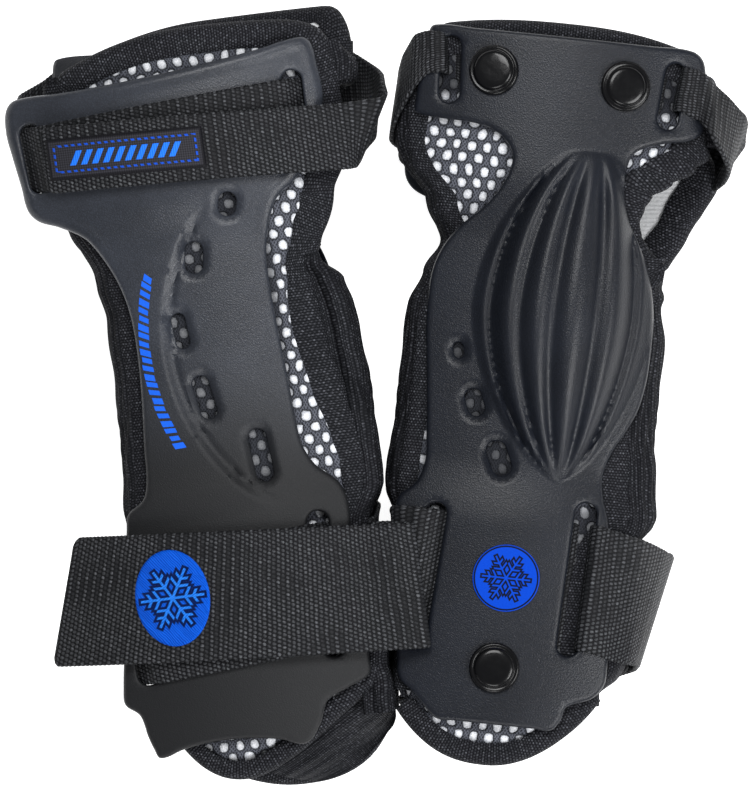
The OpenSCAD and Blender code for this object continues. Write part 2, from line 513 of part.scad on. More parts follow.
module forearm_strap_badge(side) color(blue) {
    y = forearm_flap_y(badge_x);
    z = back_z(badge_x, y) + flap_mid + web_t / 2;
    slope = 2 * end_flare * (y - waist_y) / pow(100, 2);
    translate([badge_x, y, z]) rotate([atan(slope), atan(badge_x / cross_r), 0]) translate([0, 0, 0.2])
        scale([badge_w / badge_d, 1, 1]) cylinder(d = badge_d, h = badge_t);
}

// Hand strap: the same course at the hand end, narrower
hand_fold_x = 53.2;
hand_fold_z = 14.5;
function hand_dorsal(side, k) = on_sleeve(side, hand_slots_uv[k]);
function hand_path(side) = let (
    r = palm_hand_slots[1], l = palm_hand_slots[0], dl = hand_dorsal(side, 0), dr = hand_dorsal(side, 1),
    tl = hand_slots_uv[0][2] + plate_twist, tr = hand_slots_uv[1][2] + plate_twist,
    half = slot_half - 0.3, far = max(-dl[0] + 4 - side_x(80), beside + 0.8))
    concat(
        [[hand_fold_x, 0, hand_fold_z - 2, 75.5], [hand_fold_x + 0.4, 0, 8, 78], [hand_fold_x - 0.6, 0, 0, 82],
            [hand_fold_x - 3.4, 0, -8, 87], [46.5, -1, over + 0.6, 90.6], [43, -1, over + 0.4, 92]],
        run(40.5, r[0] + half, -1, over, r[1], r[1], 1, 0, r[2]),
        run(r[0] - half, l[0] + half, -1, under, r[1], l[1], 7, r[2], l[2]),
        run(l[0] - half, -42, -1, over, l[1], l[1] - 0.6, 1, l[2], 0),
        [[-45.4, -1, over - 0.4, 91.5], [far - 0.6, -2, -8.5, 88], [far, -2, -1, 84], [far, -2, 5, 81.5]],
        is_left(side) ? [] : [[beside - 0.5, -2, 9.8, 80.5]],
        [[dl[0] - half, 1, under, dl[1] + 0.3, tl]],
        run(dl[0] + half, dr[0] - half, 1, over, dl[1], dr[1], 10, tl, tr),
        [[dr[0] + half, 1, under, dr[1], tr], [dr[0] + half + 2.5, 1, under, dr[1]]]);
module hand_strap(side) color(webbing_black) difference() {
    strap(hand_path(side), hand_web_w - 2, web_t);
    rivet_bores(post_d + 2 * post_gap);
}

hand_flap_end = -47;
function hand_flap_y(x) = 73.2 - 0.0555 * x;
function hand_flap_run(x0, x1, height, n) =
    [for (k = [0:n]) let (x = mix(x0, x1, k / n)) [x, 1, height, hand_flap_y(x)]];
module hand_strap_flap(side) color(webbing_black) strap(concat(
    [[hand_fold_x, 0, hand_fold_z + 0.2, 75.5], [hand_fold_x - 3, 0, hand_fold_z + 2.3, 73.2]],
    hand_flap_run(43, hand_flap_end, flap_mid, 14)), hand_web_w, web_t);
module hand_strap_hook(side) color(webbing_black)
    strap(hand_flap_run(2, hand_flap_end + 3, hook_mid, 7), hand_web_w - 2, hook_t);
module hand_strap_label(side) color(webbing_black)
    strap(hand_flap_run(hand_flap_end + 2 + label_l, hand_flap_end + 2, label_mid, 8), label_w, badge_t);

// ---- printed stripe along the land of the dorsal plate ----
stripe_w = 4;
stripe_arc = [159, 204.4];
module dorsal_stripe(side) {
    function at(a, r, z) = let (uv = land_at + r * [cos(a), sin(a)], p = on_sleeve(side, uv))
        [p[0], p[1], dorsal_top(uv, p) + z];
    function rows(z) = [for (k = [0:10]) let (a = mix(stripe_arc[0], stripe_arc[1], k / 10))
        [at(a, land_r + 4 + stripe_w, z), at(a, land_r + 4, z)]];
    color(blue) shell(rows(0.35), rows(0.1));
}

for (side = SIDES) placed(side) {
    dorsal_plate(side);
    dorsal_stripe(side);
    palm_plate(side);
    palm_disc(side);
    rivet_caps(side);
    rivet_posts(side);
    rivet_washers(side);
    dorsal_panel(side);
    dorsal_foam(side);
    dorsal_lining(side);
    palm_panel(side);
    palm_foam(side);
    palm_lining(side);
    finger_side_gusset(side);
    thumb_side_gusset(side);
    thumb_bridge(side);
    dorsal_finger_binding(side);
    palm_finger_binding(side);
    dorsal_forearm_binding(side);
    palm_forearm_binding(side);
    thumb_hole_binding(side);
    hand_strap(side);
    hand_strap_flap(side);
    hand_strap_hook(side);
    hand_strap_label(side);
    forearm_strap(side);
    forearm_strap_flap(side);
    forearm_strap_hook(side);
    forearm_strap_badge(side);
}
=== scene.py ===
"""A pair of padded wrist guards with moulded plates and webbing straps, one lying on its
palm plate and the other, its mirror image, on its back. Each guard has its own frame, in
millimetres: +X to the thumb, +Y to the fingers, +Z out of the back of the hand."""

import math
import functools
import bpy
import numpy as np
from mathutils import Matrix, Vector, geometry


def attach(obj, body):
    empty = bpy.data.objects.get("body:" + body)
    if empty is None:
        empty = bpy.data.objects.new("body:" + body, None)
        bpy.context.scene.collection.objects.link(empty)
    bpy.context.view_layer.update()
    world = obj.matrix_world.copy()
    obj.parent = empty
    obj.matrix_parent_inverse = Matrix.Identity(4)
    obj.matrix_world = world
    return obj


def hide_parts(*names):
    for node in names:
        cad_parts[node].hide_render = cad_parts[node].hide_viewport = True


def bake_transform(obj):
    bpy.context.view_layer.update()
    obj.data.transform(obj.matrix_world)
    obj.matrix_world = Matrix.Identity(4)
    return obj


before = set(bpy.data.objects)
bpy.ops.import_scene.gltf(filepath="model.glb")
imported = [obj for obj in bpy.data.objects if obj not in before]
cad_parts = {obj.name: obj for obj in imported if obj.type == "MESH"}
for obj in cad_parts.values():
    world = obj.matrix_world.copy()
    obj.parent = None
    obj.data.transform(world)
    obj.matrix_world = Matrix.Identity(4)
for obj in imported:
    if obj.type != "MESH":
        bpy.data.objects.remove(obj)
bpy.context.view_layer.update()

# ---------------------------------------------------------------- camera and studio
# A long lens straight above the pair, a pale floor, and three soft panels of light: a small
# near one beyond the fingers that gives the plates their sheen, one to the right towards
# the forearms, and one far beyond the forearms.
VIEW_HEIGHT = 2.0
VIEW_CENTRE = (0.0, 0.0001, 0.040)
VIEW_SPAN = 0.2358


def new_object(name, data):
    """An object with its data, linked to the scene."""
    made = bpy.data.objects.new(name, data)
    bpy.context.scene.collection.objects.link(made)
    return made


camera = bpy.data.cameras.new("overhead")
camera.sensor_fit = "VERTICAL"
camera.angle = 2 * math.atan(VIEW_SPAN / 2 / (VIEW_HEIGHT - VIEW_CENTRE[2]))
camera_object = new_object("overhead", camera)
camera_object.location = (VIEW_CENTRE[0], VIEW_CENTRE[1], VIEW_HEIGHT)
bpy.context.scene.camera = camera_object
bpy.context.scene.view_settings.view_transform = "Standard"


def soft_panel(name, at, aim, size, power):
    """A square area light of the given side, at one point and turned to another."""
    lamp = bpy.data.lights.new(name, "AREA")
    lamp.size, lamp.energy = size, power
    panel = new_object(name, lamp)
    panel.location = at
    panel.rotation_euler = (Vector(aim) - Vector(at)).to_track_quat("-Z", "Y").to_euler()


soft_panel("over_fingers", (0.0, 0.28, 0.57), (-0.02, 0.05, 0.03), 0.26, 2.8)
soft_panel("beyond_right", (0.60, -0.30, 0.66), (0, 0, 0.03), 0.40, 6.5)
soft_panel("near_forearm", (-0.05, -0.95, 0.70), (0, 0, 0.03), 0.5, 5.5)


# ---------------------------------------------------------------- finishes, written as formulas
class Value:
    """One output of a node. Arithmetic on it adds Math nodes, so a pattern reads as a formula."""

    def __init__(self, finish, socket):
        self.finish, self.socket = finish, socket

    def math(self, operation, *others):
        return self.finish.node("ShaderNodeMath", {"operation": operation}, self, *others)

    def __rsub__(self, other):
        return self.finish.node("ShaderNodeMath", {"operation": "SUBTRACT"}, other, self)

    def ramp(self, start, end):
        """0 at start, 1 at end, smooth between, whichever is larger."""
        return self.finish.node("ShaderNodeMapRange", {"interpolation_type": "SMOOTHSTEP"},
                                Value=self, **{"From Min": start, "From Max": end})


# Every one adds a Math node of its own; wrapped gives the distance past the last whole
# period, which is never negative
for method, operation in {
        "__add__": "ADD", "__radd__": "ADD", "__mul__": "MULTIPLY", "__rmul__": "MULTIPLY",
        "__sub__": "SUBTRACT", "__truediv__": "DIVIDE", "cos": "COSINE", "sin": "SINE", "abs": "ABSOLUTE",
        "floor": "FLOOR", "wrapped": "FLOORED_MODULO", "power": "POWER", "low": "MINIMUM",
        "high": "MAXIMUM"}.items():
    setattr(Value, method, functools.partialmethod(Value.math, operation))


class Finish:
    """A material, with one method that adds any node and one that finishes the shader."""

    def __init__(self, name):
        self.material = bpy.data.materials.new(name)
        self.material.use_nodes = True
        self.tree = self.material.node_tree
        self.shader = self.tree.nodes["Principled BSDF"]

    def put(self, socket, value):
        if isinstance(value, Value):
            self.tree.links.new(value.socket, socket)
        elif hasattr(socket.default_value, "__len__") and len(socket.default_value) == 4:
            socket.default_value = (*value, 1.0) if len(value) == 3 else value
        else:
            socket.default_value = value

    def node(self, kind, settings=None, *inputs, out=0, **named):
        made = self.tree.nodes.new(kind)
        for key, setting in (settings or {}).items():
            setattr(made, key, setting)
        for socket, value in zip(made.inputs, inputs):
            self.put(socket, value)
        for key, value in named.items():
            self.put(made.inputs[key], value)
        return Value(self, made.outputs[out])

    def place(self, side=None):
        """Object coordinates in millimetres, turned to a guard's own frame."""
        at = self.node("ShaderNodeTexCoord", out="Object")
        turn = LIE[side][1] if side else 0
        return self.node("ShaderNodeMapping", {"vector_type": "POINT"}, Vector=at,
                         Scale=(1 / MM,) * 3, Rotation=(0, 0, -math.radians(turn)))

    def cloth(self):
        """The piece's own map, in millimetres along and across it."""
        return self.parts(self.node("ShaderNodeUVMap"))[:2]

    def parts(self, vector):
        split = self.node("ShaderNodeSeparateXYZ", None, vector).socket.node
        return [Value(self, output) for output in split.outputs]

    def joined(self, x, y, z=0.0):
        return self.node("ShaderNodeCombineXYZ", None, x, y, z)

    def noise(self, vector, scale, detail=2.0, roughness=0.5):
        return self.node("ShaderNodeTexNoise", None, Vector=vector, Scale=scale, Detail=detail,
                         Roughness=roughness)

    def blend(self, share, low, high):
        """Colour between low and high by share."""
        made = self.tree.nodes.new("ShaderNodeMix")
        made.data_type = "RGBA"
        colours = [socket for socket in made.inputs if socket.type == "RGBA"]
        self.put(made.inputs[0], share)
        self.put(colours[0], low)
        self.put(colours[1], high)
        return Value(self, [socket for socket in made.outputs if socket.type == "RGBA"][0])

    def relief(self, height, depth):
        """Bump of a height from 0 to 1 that stands depth millimetres."""
        return self.node("ShaderNodeBump", None, Height=height, Distance=depth * MM, Strength=1.0)

    def shade(self, **sockets):
        for key, value in sockets.items():
            self.put(self.shader.inputs[key.replace("_", " ")], value)
        return self


floor_finish = Finish("floor_white")
floor_finish.shade(Base_Color=(0.8, 0.8, 0.805), Roughness=0.9)
ray = floor_finish.node("ShaderNodeLightPath", out="Is Camera Ray")
rays = {output.name: Value(floor_finish, output) for output in ray.socket.node.outputs}
seen = rays["Is Camera Ray"].high(rays["Is Glossy Ray"]).high(rays["Is Transmission Ray"])
shine = floor_finish.node("ShaderNodeEmission", None, (1, 1, 1), seen * 0.9)
lit = floor_finish.node("ShaderNodeAddShader", None,
                        Value(floor_finish, floor_finish.shader.outputs[0]), shine)
back = floor_finish.node("ShaderNodeNewGeometry", out="Backfacing")
clear = floor_finish.node("ShaderNodeBsdfTransparent")
floor_top = floor_finish.node("ShaderNodeMixShader", None, back, lit, clear)
floor_finish.tree.links.new(floor_top.socket, floor_finish.tree.nodes["Material Output"].inputs[0])

floor_mesh = bpy.data.meshes.new("studio_floor")
floor_mesh.from_pydata([(-3, -3, 0), (3, -3, 0), (3, 3, 0), (-3, 3, 0)], [], [(0, 1, 2, 3)])
floor = new_object("studio_floor", floor_mesh)
floor_mesh.materials.append(floor_finish.material)

world = bpy.data.worlds.new("studio")
world.use_nodes = True
bpy.context.scene.world = world
sky = world.node_tree.nodes["Background"]
sky.inputs[0].default_value = (1, 1, 1, 1)
sky.inputs[1].default_value = 0.22

# ---------------------------------------------------------------- how the two guards lie
# The left guard lies palm down and the right one palm up, so the right frame's Z is turned
# over. Every surface below is worked out in a guard's own frame and put here at the end.
MM = 0.001
SIDES = ("left", "right")
# Origin, turn about the vertical in degrees, and 1 or -1 for the back of the hand up or down
LIE = {"left": ((-41.6, 0.6, 33.8), 7.9, 1), "right": ((46.9, -0.5, 30.08), -6.0, -1)}


def placed(side, points):
    """A guard's own points in the shared frame: z times 1 or -1, turned about the vertical
    and moved to the guard's origin, in metres."""
    at, turn, up = LIE[side]
    c, s = math.cos(math.radians(turn)), math.sin(math.radians(turn))
    x, y, z = points[..., 0], points[..., 1], points[..., 2]
    return MM * np.stack([at[0] + c * x - s * y, at[1] + s * x + c * y, at[2] + up * z], -1)


def guard_origin(side):
    """Where a guard's origin lies once its turn is taken off, in millimetres."""
    at, turn, _ = LIE[side]
    c, s = math.cos(math.radians(turn)), math.sin(math.radians(turn))
    return c * at[0] + s * at[1], c * at[1] - s * at[0]


def grid_faces(rows, cols, start=0):
    """Four-cornered faces between the points of a grid."""
    row, col = np.meshgrid(np.arange(rows - 1), np.arange(cols - 1), indexing="ij")
    first = start + row * cols + col
    return np.stack([first, first + 1, first + cols + 1, first + cols], -1).reshape(-1, 4)


def closed_sheet(upper, lower):
    """Two grids of points with the same rows and columns, walled along their four edges."""
    rows, cols = upper.shape[:2]
    count = rows * cols
    index = np.arange(count).reshape(rows, cols)
    rim = np.concatenate([index[0], index[1:, -1], index[-1, -2::-1], index[-2:0:-1, 0]])
    after = np.roll(rim, -1)
    wall = np.stack([after, rim, rim + count, after + count], -1)
    points = np.concatenate([upper.reshape(-1, 3), lower.reshape(-1, 3)])
    return points, [grid_faces(rows, cols), grid_faces(rows, cols, count)[:, ::-1], wall]


def tube_faces(rings, around):
    """Faces of a tube of rings, and the fans of triangles that close its two ends."""
    ring, place = np.meshgrid(np.arange(rings - 1), np.arange(around), indexing="ij")
    here, beside = ring * around, (place + 1) % around
    onward = here + around
    sides = np.stack([here + place, here + beside, onward + beside, onward + place], -1).reshape(-1, 4)
    fan = np.arange(1, around - 1)
    near = np.stack([fan * 0, fan + 1, fan], -1)
    return [sides, near, (rings - 1) * around + near[:, ::-1]]


def new_piece(name, side, points, faces, finish, cloth=None, sharp=50):
    """A mesh in the shared frame from a guard's own points. Faces are turned outwards by the
    sign of the volume that they enclose. cloth is the map, in millimetres, and is repeated
    where it is given for one of two faces."""
    at = placed(side, points.reshape(-1, 3))
    corners = [np.concatenate([f[:, [0, i, i + 1]] for i in range(1, f.shape[1] - 1)]) for f in faces]
    a, b, c = (at[np.concatenate(corners)[:, i]] for i in range(3))
    if np.einsum("ij,ij->", a - at.mean(0), np.cross(b - at.mean(0), c - at.mean(0))) < 0:
        faces = [f[:, ::-1] for f in faces]
    loops = np.concatenate([f.ravel() for f in faces])
    sizes = np.concatenate([np.full(len(f), f.shape[1]) for f in faces])
    mesh = bpy.data.meshes.new(f"{side}_{name}")
    mesh.vertices.add(len(at))
    mesh.vertices.foreach_set("co", at.ravel())
    mesh.loops.add(len(loops))
    mesh.loops.foreach_set("vertex_index", loops.astype(np.int32))
    mesh.polygons.add(len(sizes))
    mesh.polygons.foreach_set("loop_start", (np.cumsum(sizes) - sizes).astype(np.int32))
    mesh.polygons.foreach_set("use_smooth", np.ones(len(sizes), bool))
    mesh.update(calc_edges=True)
    if cloth is not None:
        layer = mesh.uv_layers.new(name="UVMap")
        layer.data.foreach_set("uv", np.resize(cloth, (len(at), 2))[loops].astype(np.float32).ravel())
    mesh.set_sharp_from_angle(angle=math.radians(sharp))
    mesh.materials.append(finish.material)
    return new_object(mesh.name, mesh)


def worn(piece, side, body, slot, *stands_for):
    """Says which body a piece moves with and hides the solids it stands for; slot is not used."""
    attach(piece, f"{side}_{body}")
    if stands_for:
        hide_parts(*[f"{side}_{node}" for node in stands_for])


# ---------------------------------------------------------------- the sleeve's two faces
# The sleeve is two padded layers, one on the back of the hand and one on the palm, each
# bowed across the arm and lifted a little towards both ends.
BACK_RISE, PALM_DROP, CROSS_R, END_FLARE = 19.0, 19.0, 104.0, 2.0
# Each end of a layer: share of the half width where it reaches furthest, y there, how far it
# falls back to the little finger's corner and by which power, the same for the thumb's
# corner, and how much of that corner is rounded off and by which power
ENDS = {
    ("left", "dorsal", "finger"): (0.0, 109.7, 10, 2.2, 3, 2, 15, 12),
    ("left", "palm", "finger"): (0.1, 113.0, 11.5, 2, 1.5, 2, 9, 30),
    ("left", "dorsal", "forearm"): (-0.4, -115.0, 11, 2.5, 25, 1.5, 0, 1),
    ("left", "palm", "forearm"): (0.15, -121.0, 15, 2, 13, 3, 0, 1),
    ("right", "dorsal", "finger"): (0.0, 107.5, 4, 2.5, 6, 2.5, 0, 1),
    ("right", "palm", "finger"): (0.0, 111.5, 4, 2.5, 6, 2.5, 0, 1),
    ("right", "dorsal", "forearm"): (-0.1, -109.5, 12, 2.5, 21, 2, 0, 1),
    ("right", "palm", "forearm"): (-0.1, -111.4, 12.5, 2.5, 21, 2, 0, 1)}
GUSSET_TOP = 100.5
GUSSET_LOW = {"left": -100.8, "right": -93.8}
WALL_T = 5.4
WEB_ROOM, SEAT_GAP = 2.1, 0.4


def mix(a, b, share):
    return a + (b - a) * share


def smooth(t):
    """3t^2 - 2t^3 between 0 and 1, flat outside."""
    t = np.clip(t, 0, 1)
    return t * t * (3 - 2 * t)


def unit(vectors):
    return vectors / np.linalg.norm(vectors, axis=-1, keepdims=True)


def run_along(points):
    """Distance run from the first point to each one."""
    return np.concatenate([[0], np.cumsum(np.linalg.norm(np.diff(points, axis=0), axis=1))])


def follow(stations, y):
    """A value that goes smoothly from each [y, value] station to the next."""
    ys, values = np.array(stations, float).T
    at = np.clip(np.searchsorted(ys, y) - 1, 0, len(ys) - 2)
    return mix(values[at], values[at + 1], smooth((y - ys[at]) / (ys[at + 1] - ys[at])))


def back_z(x, y):
    """Height of the sleeve's back: rise + flare ((y - 10) / 100)^2 - x^2 / 2R."""
    return BACK_RISE + END_FLARE * ((y - 10) / 100) ** 2 - x * x / (2 * CROSS_R)


def palm_z(x, y):
    """Height of the sleeve's palm: -drop - flare ((y - 30) / 110)^2 + x^2 / 2R."""
    return -PALM_DROP - END_FLARE * ((y - 30) / 110) ** 2 + x * x / (2 * CROSS_R)


def lift(y):
    """Room under a plate: a small gap at the waist, the webbing's thickness at both ends."""
    return SEAT_GAP + (WEB_ROOM - SEAT_GAP) * (smooth((y - 44) / 24) + smooth((-20 - y) / 20))


# The sleeve's half width down the arm, [y, millimetres], and where the palm layer's edge is
# cut back round the thumb
EDGE = [[-96, 28], [-82, 27], [-58, 28.5], [-45, 30], [-32, 34.3], [-10, 34], [12, 33.6], [40, 32],
        [56, 38], [72, 43.2], [95, 42.5], [112, 40]]
THUMB_EDGE = {
    "left": [[40, 32], [43, 28.6], [45.3, 26.6], [50.4, 25.2], [54.9, 25], [59.5, 26], [64, 28.3],
             [68.7, 32.5], [74.1, 37], [80, 41], [88, 44], [95, 46.6], [104, 47.4], [114, 46.6]],
    "right": [[40, 32], [43, 28.6], [45.3, 26.8], [50.4, 25], [54.9, 24.4], [59.5, 24.9], [64, 26.6],
              [68.7, 31], [74.1, 37.2], [79, 42.2], [85, 43.2], [95, 41.5], [112, 39]]}
SEAM_GAP, GUSSET_SWELL = 0.8, 4.0
# How far each soft side gives outwards or inwards as it lies, [y, millimetres]
GIVE = {
    ("left", 1): [[-112, 1.5], [-100, 2], [-88, 3], [-78, 4.5], [-62, 0], [-40, 0], [-25, 0.7], [-2, 0.8],
                  [14, 0.1], [22, -0.3], [29.6, -1.4], [34.5, -3.2], [38, -2.6], [41, -1.1], [46, -0.7],
                  [54, -1.2], [62, 0.3], [70, 1.0], [84, 0], [95, 1.6], [112, 1.6]],
    ("left", -1): [[-40, 0], [-32, -1.4], [-20, -2.4], [-5, -3], [10, -3.3], [26, -2.6], [36, -0.6], [46, 0]],
    ("right", 1): [[-88, 0], [-78, 4.5], [-62, 0], [-44, 0], [-36, 2], [-22, 0.5], [-7, -1.2], [20, -0.4],
                   [30, -1.6], [35, -0.3], [39, 2.6], [43, 4.8], [52.7, 4.8], [59.9, 6.9], [67, 7.1], [74, 5],
                   [82, 1], [92, 0]],
    ("right", -1): [[-96, 0], [-88, 2.5], [-72, 1.5], [-60, 0], [-40, 0], [-26, 1.2], [-6, 0.4], [24, 1],
                    [34, -1.8], [45, -7], [55, -6.2], [66, -1.2], [74, 0]]}


def edge_x(y):
    return follow(EDGE, y)


def side_x(y):
    """Outermost reach of the knitted gussets."""
    return edge_x(y) + SEAM_GAP + GUSSET_SWELL


def thumb_x(side, y):
    """The palm layer's thumb side, cut back round the thumb."""
    return np.where(y < 40, edge_x(y), follow(THUMB_EDGE[side], y))


def given(side, points):
    """The soft sides pushed in or out by GIVE, nothing at the middle and all of it at the edge."""
    x, y = points[..., 0], points[..., 1]
    reach = smooth((np.abs(x) / edge_x(y) - 0.45) / 0.5)
    push = np.where(x > 0, follow(GIVE[side, 1], y), -follow(GIVE[side, -1], y))
    moved = points.copy()
    moved[..., 0] = x + push * reach
    return moved


def end_y(side, palm, end, share):
    """A layer's end: the furthest place less a drop of R t^p, t the way from it to a corner,
    and at the thumb less a second, steeper one that rounds the corner."""
    layer = "palm" if palm else "dorsal"
    middle, far, left, left_power, right, right_power, corner, corner_power = ENDS[side, layer, end]
    t = np.clip((middle - share) / (1 + middle), 0, 1), np.clip((share - middle) / (1 - middle), 0, 1)
    drop = left * t[0] ** left_power + right * t[1] ** right_power + corner * t[1] ** corner_power
    return far - drop if end == "finger" else far + drop


def side_at(side, palm, share, y):
    """x a share of the way to a layer's edge."""
    return np.where(share < 0, share * edge_x(y), share * (thumb_x(side, y) if palm else edge_x(y)))


def layer_point(side, palm, share, y, depth):
    """A point share of the way to a layer's edge, depth millimetres into the layer."""
    x = side_at(side, palm, share, y)
    return np.stack([x, y, palm_z(x, y) + depth if palm else back_z(x, y) - depth], -1)


# ---------------------------------------------------------------- moulded plates
# Both plates are injection-moulded plastic about 2.6 mm thick with a fine leather grain and
# rolled edges, cut through by strap slots and vents. Each is worked out in its own flat
# plane first: the outline and the holes as loops, filled with triangles of about 1 mm,
# then lifted to the sleeve's curve with every edge rounded by its distance.
PLATE_T, EDGE_ROLL = 2.6, 1.25
LOOP_STEP, DORSAL_MESH, PALM_MESH = 0.7, 1.1, 0.75


def flowing(points):
    """A closed curve through points: a cubic per side whose end slopes follow the
    neighbours, as long as the side itself, so it never swings wide. Stepped evenly."""
    p = np.array(points, float)
    ahead = np.roll(p, -1, 0)
    chord = np.linalg.norm(ahead - p, axis=1, keepdims=True)
    slope = unit(ahead - np.roll(p, 1, 0))
    t = np.linspace(0, 1, 24, endpoint=False)[:, None, None]
    curve = ((2 * t ** 3 - 3 * t ** 2 + 1) * p + (t ** 3 - 2 * t ** 2 + t) * chord * slope
             + (3 * t ** 2 - 2 * t ** 3) * ahead + (t ** 3 - t ** 2) * chord * np.roll(slope, -1, 0))
    return stepped(curve.transpose(1, 0, 2).reshape(-1, 2))


def stepped(curve):
    """A closed curve with its points set LOOP_STEP apart."""
    looped = np.concatenate([curve, curve[:1]])
    run = run_along(looped)
    at = np.linspace(0, run[-1], int(run[-1] / LOOP_STEP), endpoint=False)
    return np.stack([np.interp(at, run, looped[:, k]) for k in range(2)], -1)


def stadium(centre, length, width, tilt):
    """A slot's loop: two straight sides and two half circles, turned by tilt degrees."""
    turn = np.linspace(0, 2 * math.pi, 96, endpoint=False)
    x = width / 2 * np.cos(turn)
    y = width / 2 * np.sin(turn) + np.sign(np.sin(turn)) * (length - width) / 2
    c, s = math.cos(math.radians(tilt)), math.sin(math.radians(tilt))
    return stepped(np.stack([centre[0] + c * x - s * y, centre[1] + s * x + c * y], -1))


def inside(points, loops):
    """Whether each point lies within the first loop and outside the others: the number of
    sides that a ray towards +X crosses is odd."""
    odd = np.zeros(len(points), bool)
    for loop in loops:
        (x0, y0), (x1, y1) = loop.T, np.roll(loop, -1, 0).T
        for start in range(0, len(points), 4000):
            x, y = points[start:start + 4000, :1], points[start:start + 4000, 1:]
            between = (y0 > y) != (y1 > y)
            cross = x < (x1 - x0) * (y - y0) / np.where(y1 == y0, 1e-9, y1 - y0) + x0
            odd[start:start + 4000] ^= (between & cross).sum(1) % 2 == 1
    return odd


def edge_distance(points, loops):
    """Distance from each point to the nearest side of any loop."""
    a = np.concatenate(loops)
    b = np.concatenate([np.roll(loop, -1, 0) for loop in loops])
    span = b - a
    length = np.einsum("ij,ij->i", span, span)
    nearest = np.empty(len(points))
    for start in range(0, len(points), 2000):
        p = points[start:start + 2000, None]
        share = np.clip(((p - a) * span).sum(-1) / length, 0, 1)
        nearest[start:start + 2000] = np.sqrt((((p - a) - share[..., None] * span) ** 2).sum(-1).min(1))
    return nearest


def filled(loops, mesh_step):
    """Triangles between an outline and its holes, with rings of points close to every edge.
    Returns the points, each one's distance to an edge, the triangles and the open sides."""
    low, high = loops[0].min(0), loops[0].max(0)
    across, along = np.meshgrid(np.arange(low[0], high[0], mesh_step),
                                np.arange(low[1], high[1], mesh_step * 0.866))
    across = across + mesh_step / 2 * (np.arange(len(across)) % 2)[:, None]
    middle = np.stack([across.ravel(), along.ravel()], -1)
    middle = middle[inside(middle, loops)]
    middle = middle[edge_distance(middle, loops) > 2.3]
    rings = []
    for loop in loops:
        ahead = np.roll(loop, -1, 0) - np.roll(loop, 1, 0)
        square = unit(np.stack([-ahead[:, 1], ahead[:, 0]], -1))
        for inset in (0.15, 0.4, 0.8, 1.3, 1.9):
            for way in (inset, -inset):
                ring = (loop + way * square)[::2 if inset > 1 else 1]
                ring = ring[inside(ring, loops)]
                rings.append(ring[edge_distance(ring, loops) > 0.93 * inset])
    every = np.concatenate(loops + rings + [middle])
    sides, start = [], 0
    for loop in loops:
        index = start + np.arange(len(loop))
        sides += np.stack([index, np.roll(index, -1)], -1).tolist()
        start += len(loop)
    out = geometry.delaunay_2d_cdt([Vector(p) for p in every], sides, [], 0, 1e-4)
    points = np.array([tuple(p) for p in out[0]])
    triangles = np.array(out[2])
    triangles = triangles[inside(points[triangles].mean(1), loops)]
    used, triangles = np.unique(triangles, return_inverse=True)
    points, triangles = points[used], triangles.reshape(-1, 3)
    ways = np.concatenate([triangles[:, [0, 1]], triangles[:, [1, 2]], triangles[:, [2, 0]]])
    key = np.sort(ways, 1)
    _, first, count = np.unique(key, axis=0, return_index=True, return_counts=True)
    return points, edge_distance(points, loops), triangles, ways[first[count == 1]]


def plate(top, under, flat):
    """A closed plate from its flat mesh: the top drops by a quarter circle within EDGE_ROLL
    of an edge and the underside rises by a smaller one."""
    _, distance, triangles, open_sides = flat
    outwards = np.sign(top - under).mean(0, keepdims=True)

    def drop(radius):
        near = np.clip(radius - distance, 0, radius)
        return outwards * (radius - np.sqrt(radius ** 2 - near ** 2))

    return top - drop(EDGE_ROLL), under + drop(0.5), triangles, open_sides


def plate_piece(name, side, place, upper, lower, triangles, open_sides, finish):
    """Joins a plate's two faces by a wall along its outline and round every hole."""
    count = len(place)
    points = np.concatenate([np.column_stack([place, upper]), np.column_stack([place, lower])])
    near, far = open_sides.T
    wall = np.stack([far, near, near + count, far + count], -1)
    return new_piece(name, side, points, [triangles, triangles[:, ::-1] + count, wall], finish, place)


def plastic(name, base, rough, gleam, painted_low_shade=0.0):
    """Grained plastic: soft cells about half a millimetre wide broken by noise, with the
    colour and the shine of the raised skin a little lighter than the pits. The last argument
    is how much duller and darker the skin is painted below the waist than on the hand:
    painted shade where the lamps' sheen falls off."""
    made = Finish(name)
    at = made.place()
    # Painted shade: below the waist the colour is darkened and the roughness raised
    low = made.parts(at)[1].ramp(18.0, -28.0) * painted_low_shade
    cells = made.node("ShaderNodeTexVoronoi", {"feature": "DISTANCE_TO_EDGE"}, Vector=at, Scale=1.3)
    grain = cells.ramp(0.0, 0.32) * 0.45 + made.noise(at, 2.2, 3.0, 0.6).ramp(0.3, 0.7) * 0.55
    cloudy = made.noise(at, 0.035, 3.0)
    colour = made.blend(cloudy.ramp(0.3, 0.7) * 0.3 + grain * 0.7, tuple(0.5 * c for c in base),
                        tuple(1.5 * c for c in base))
    colour = made.blend(low, colour, tuple(0.15 * c for c in base))
    return made.shade(Base_Color=colour, Roughness=rough - grain * 0.10 + cloudy * 0.06 + low * 0.25,
                      Normal=made.relief(grain, 0.05), Specular_IOR_Level=gleam)


# The plates are one plastic, but the dorsal base colour is painted about three times lighter than the palm
# one: a lit copy and a shaded copy of one material
dorsal_finish = plastic("dorsal_moulding", (0.026, 0.0295, 0.0385), 0.38, 0.38, 1.0)
palm_finish = plastic("palm_moulding", (0.0085, 0.0102, 0.0150), 0.37, 0.28)

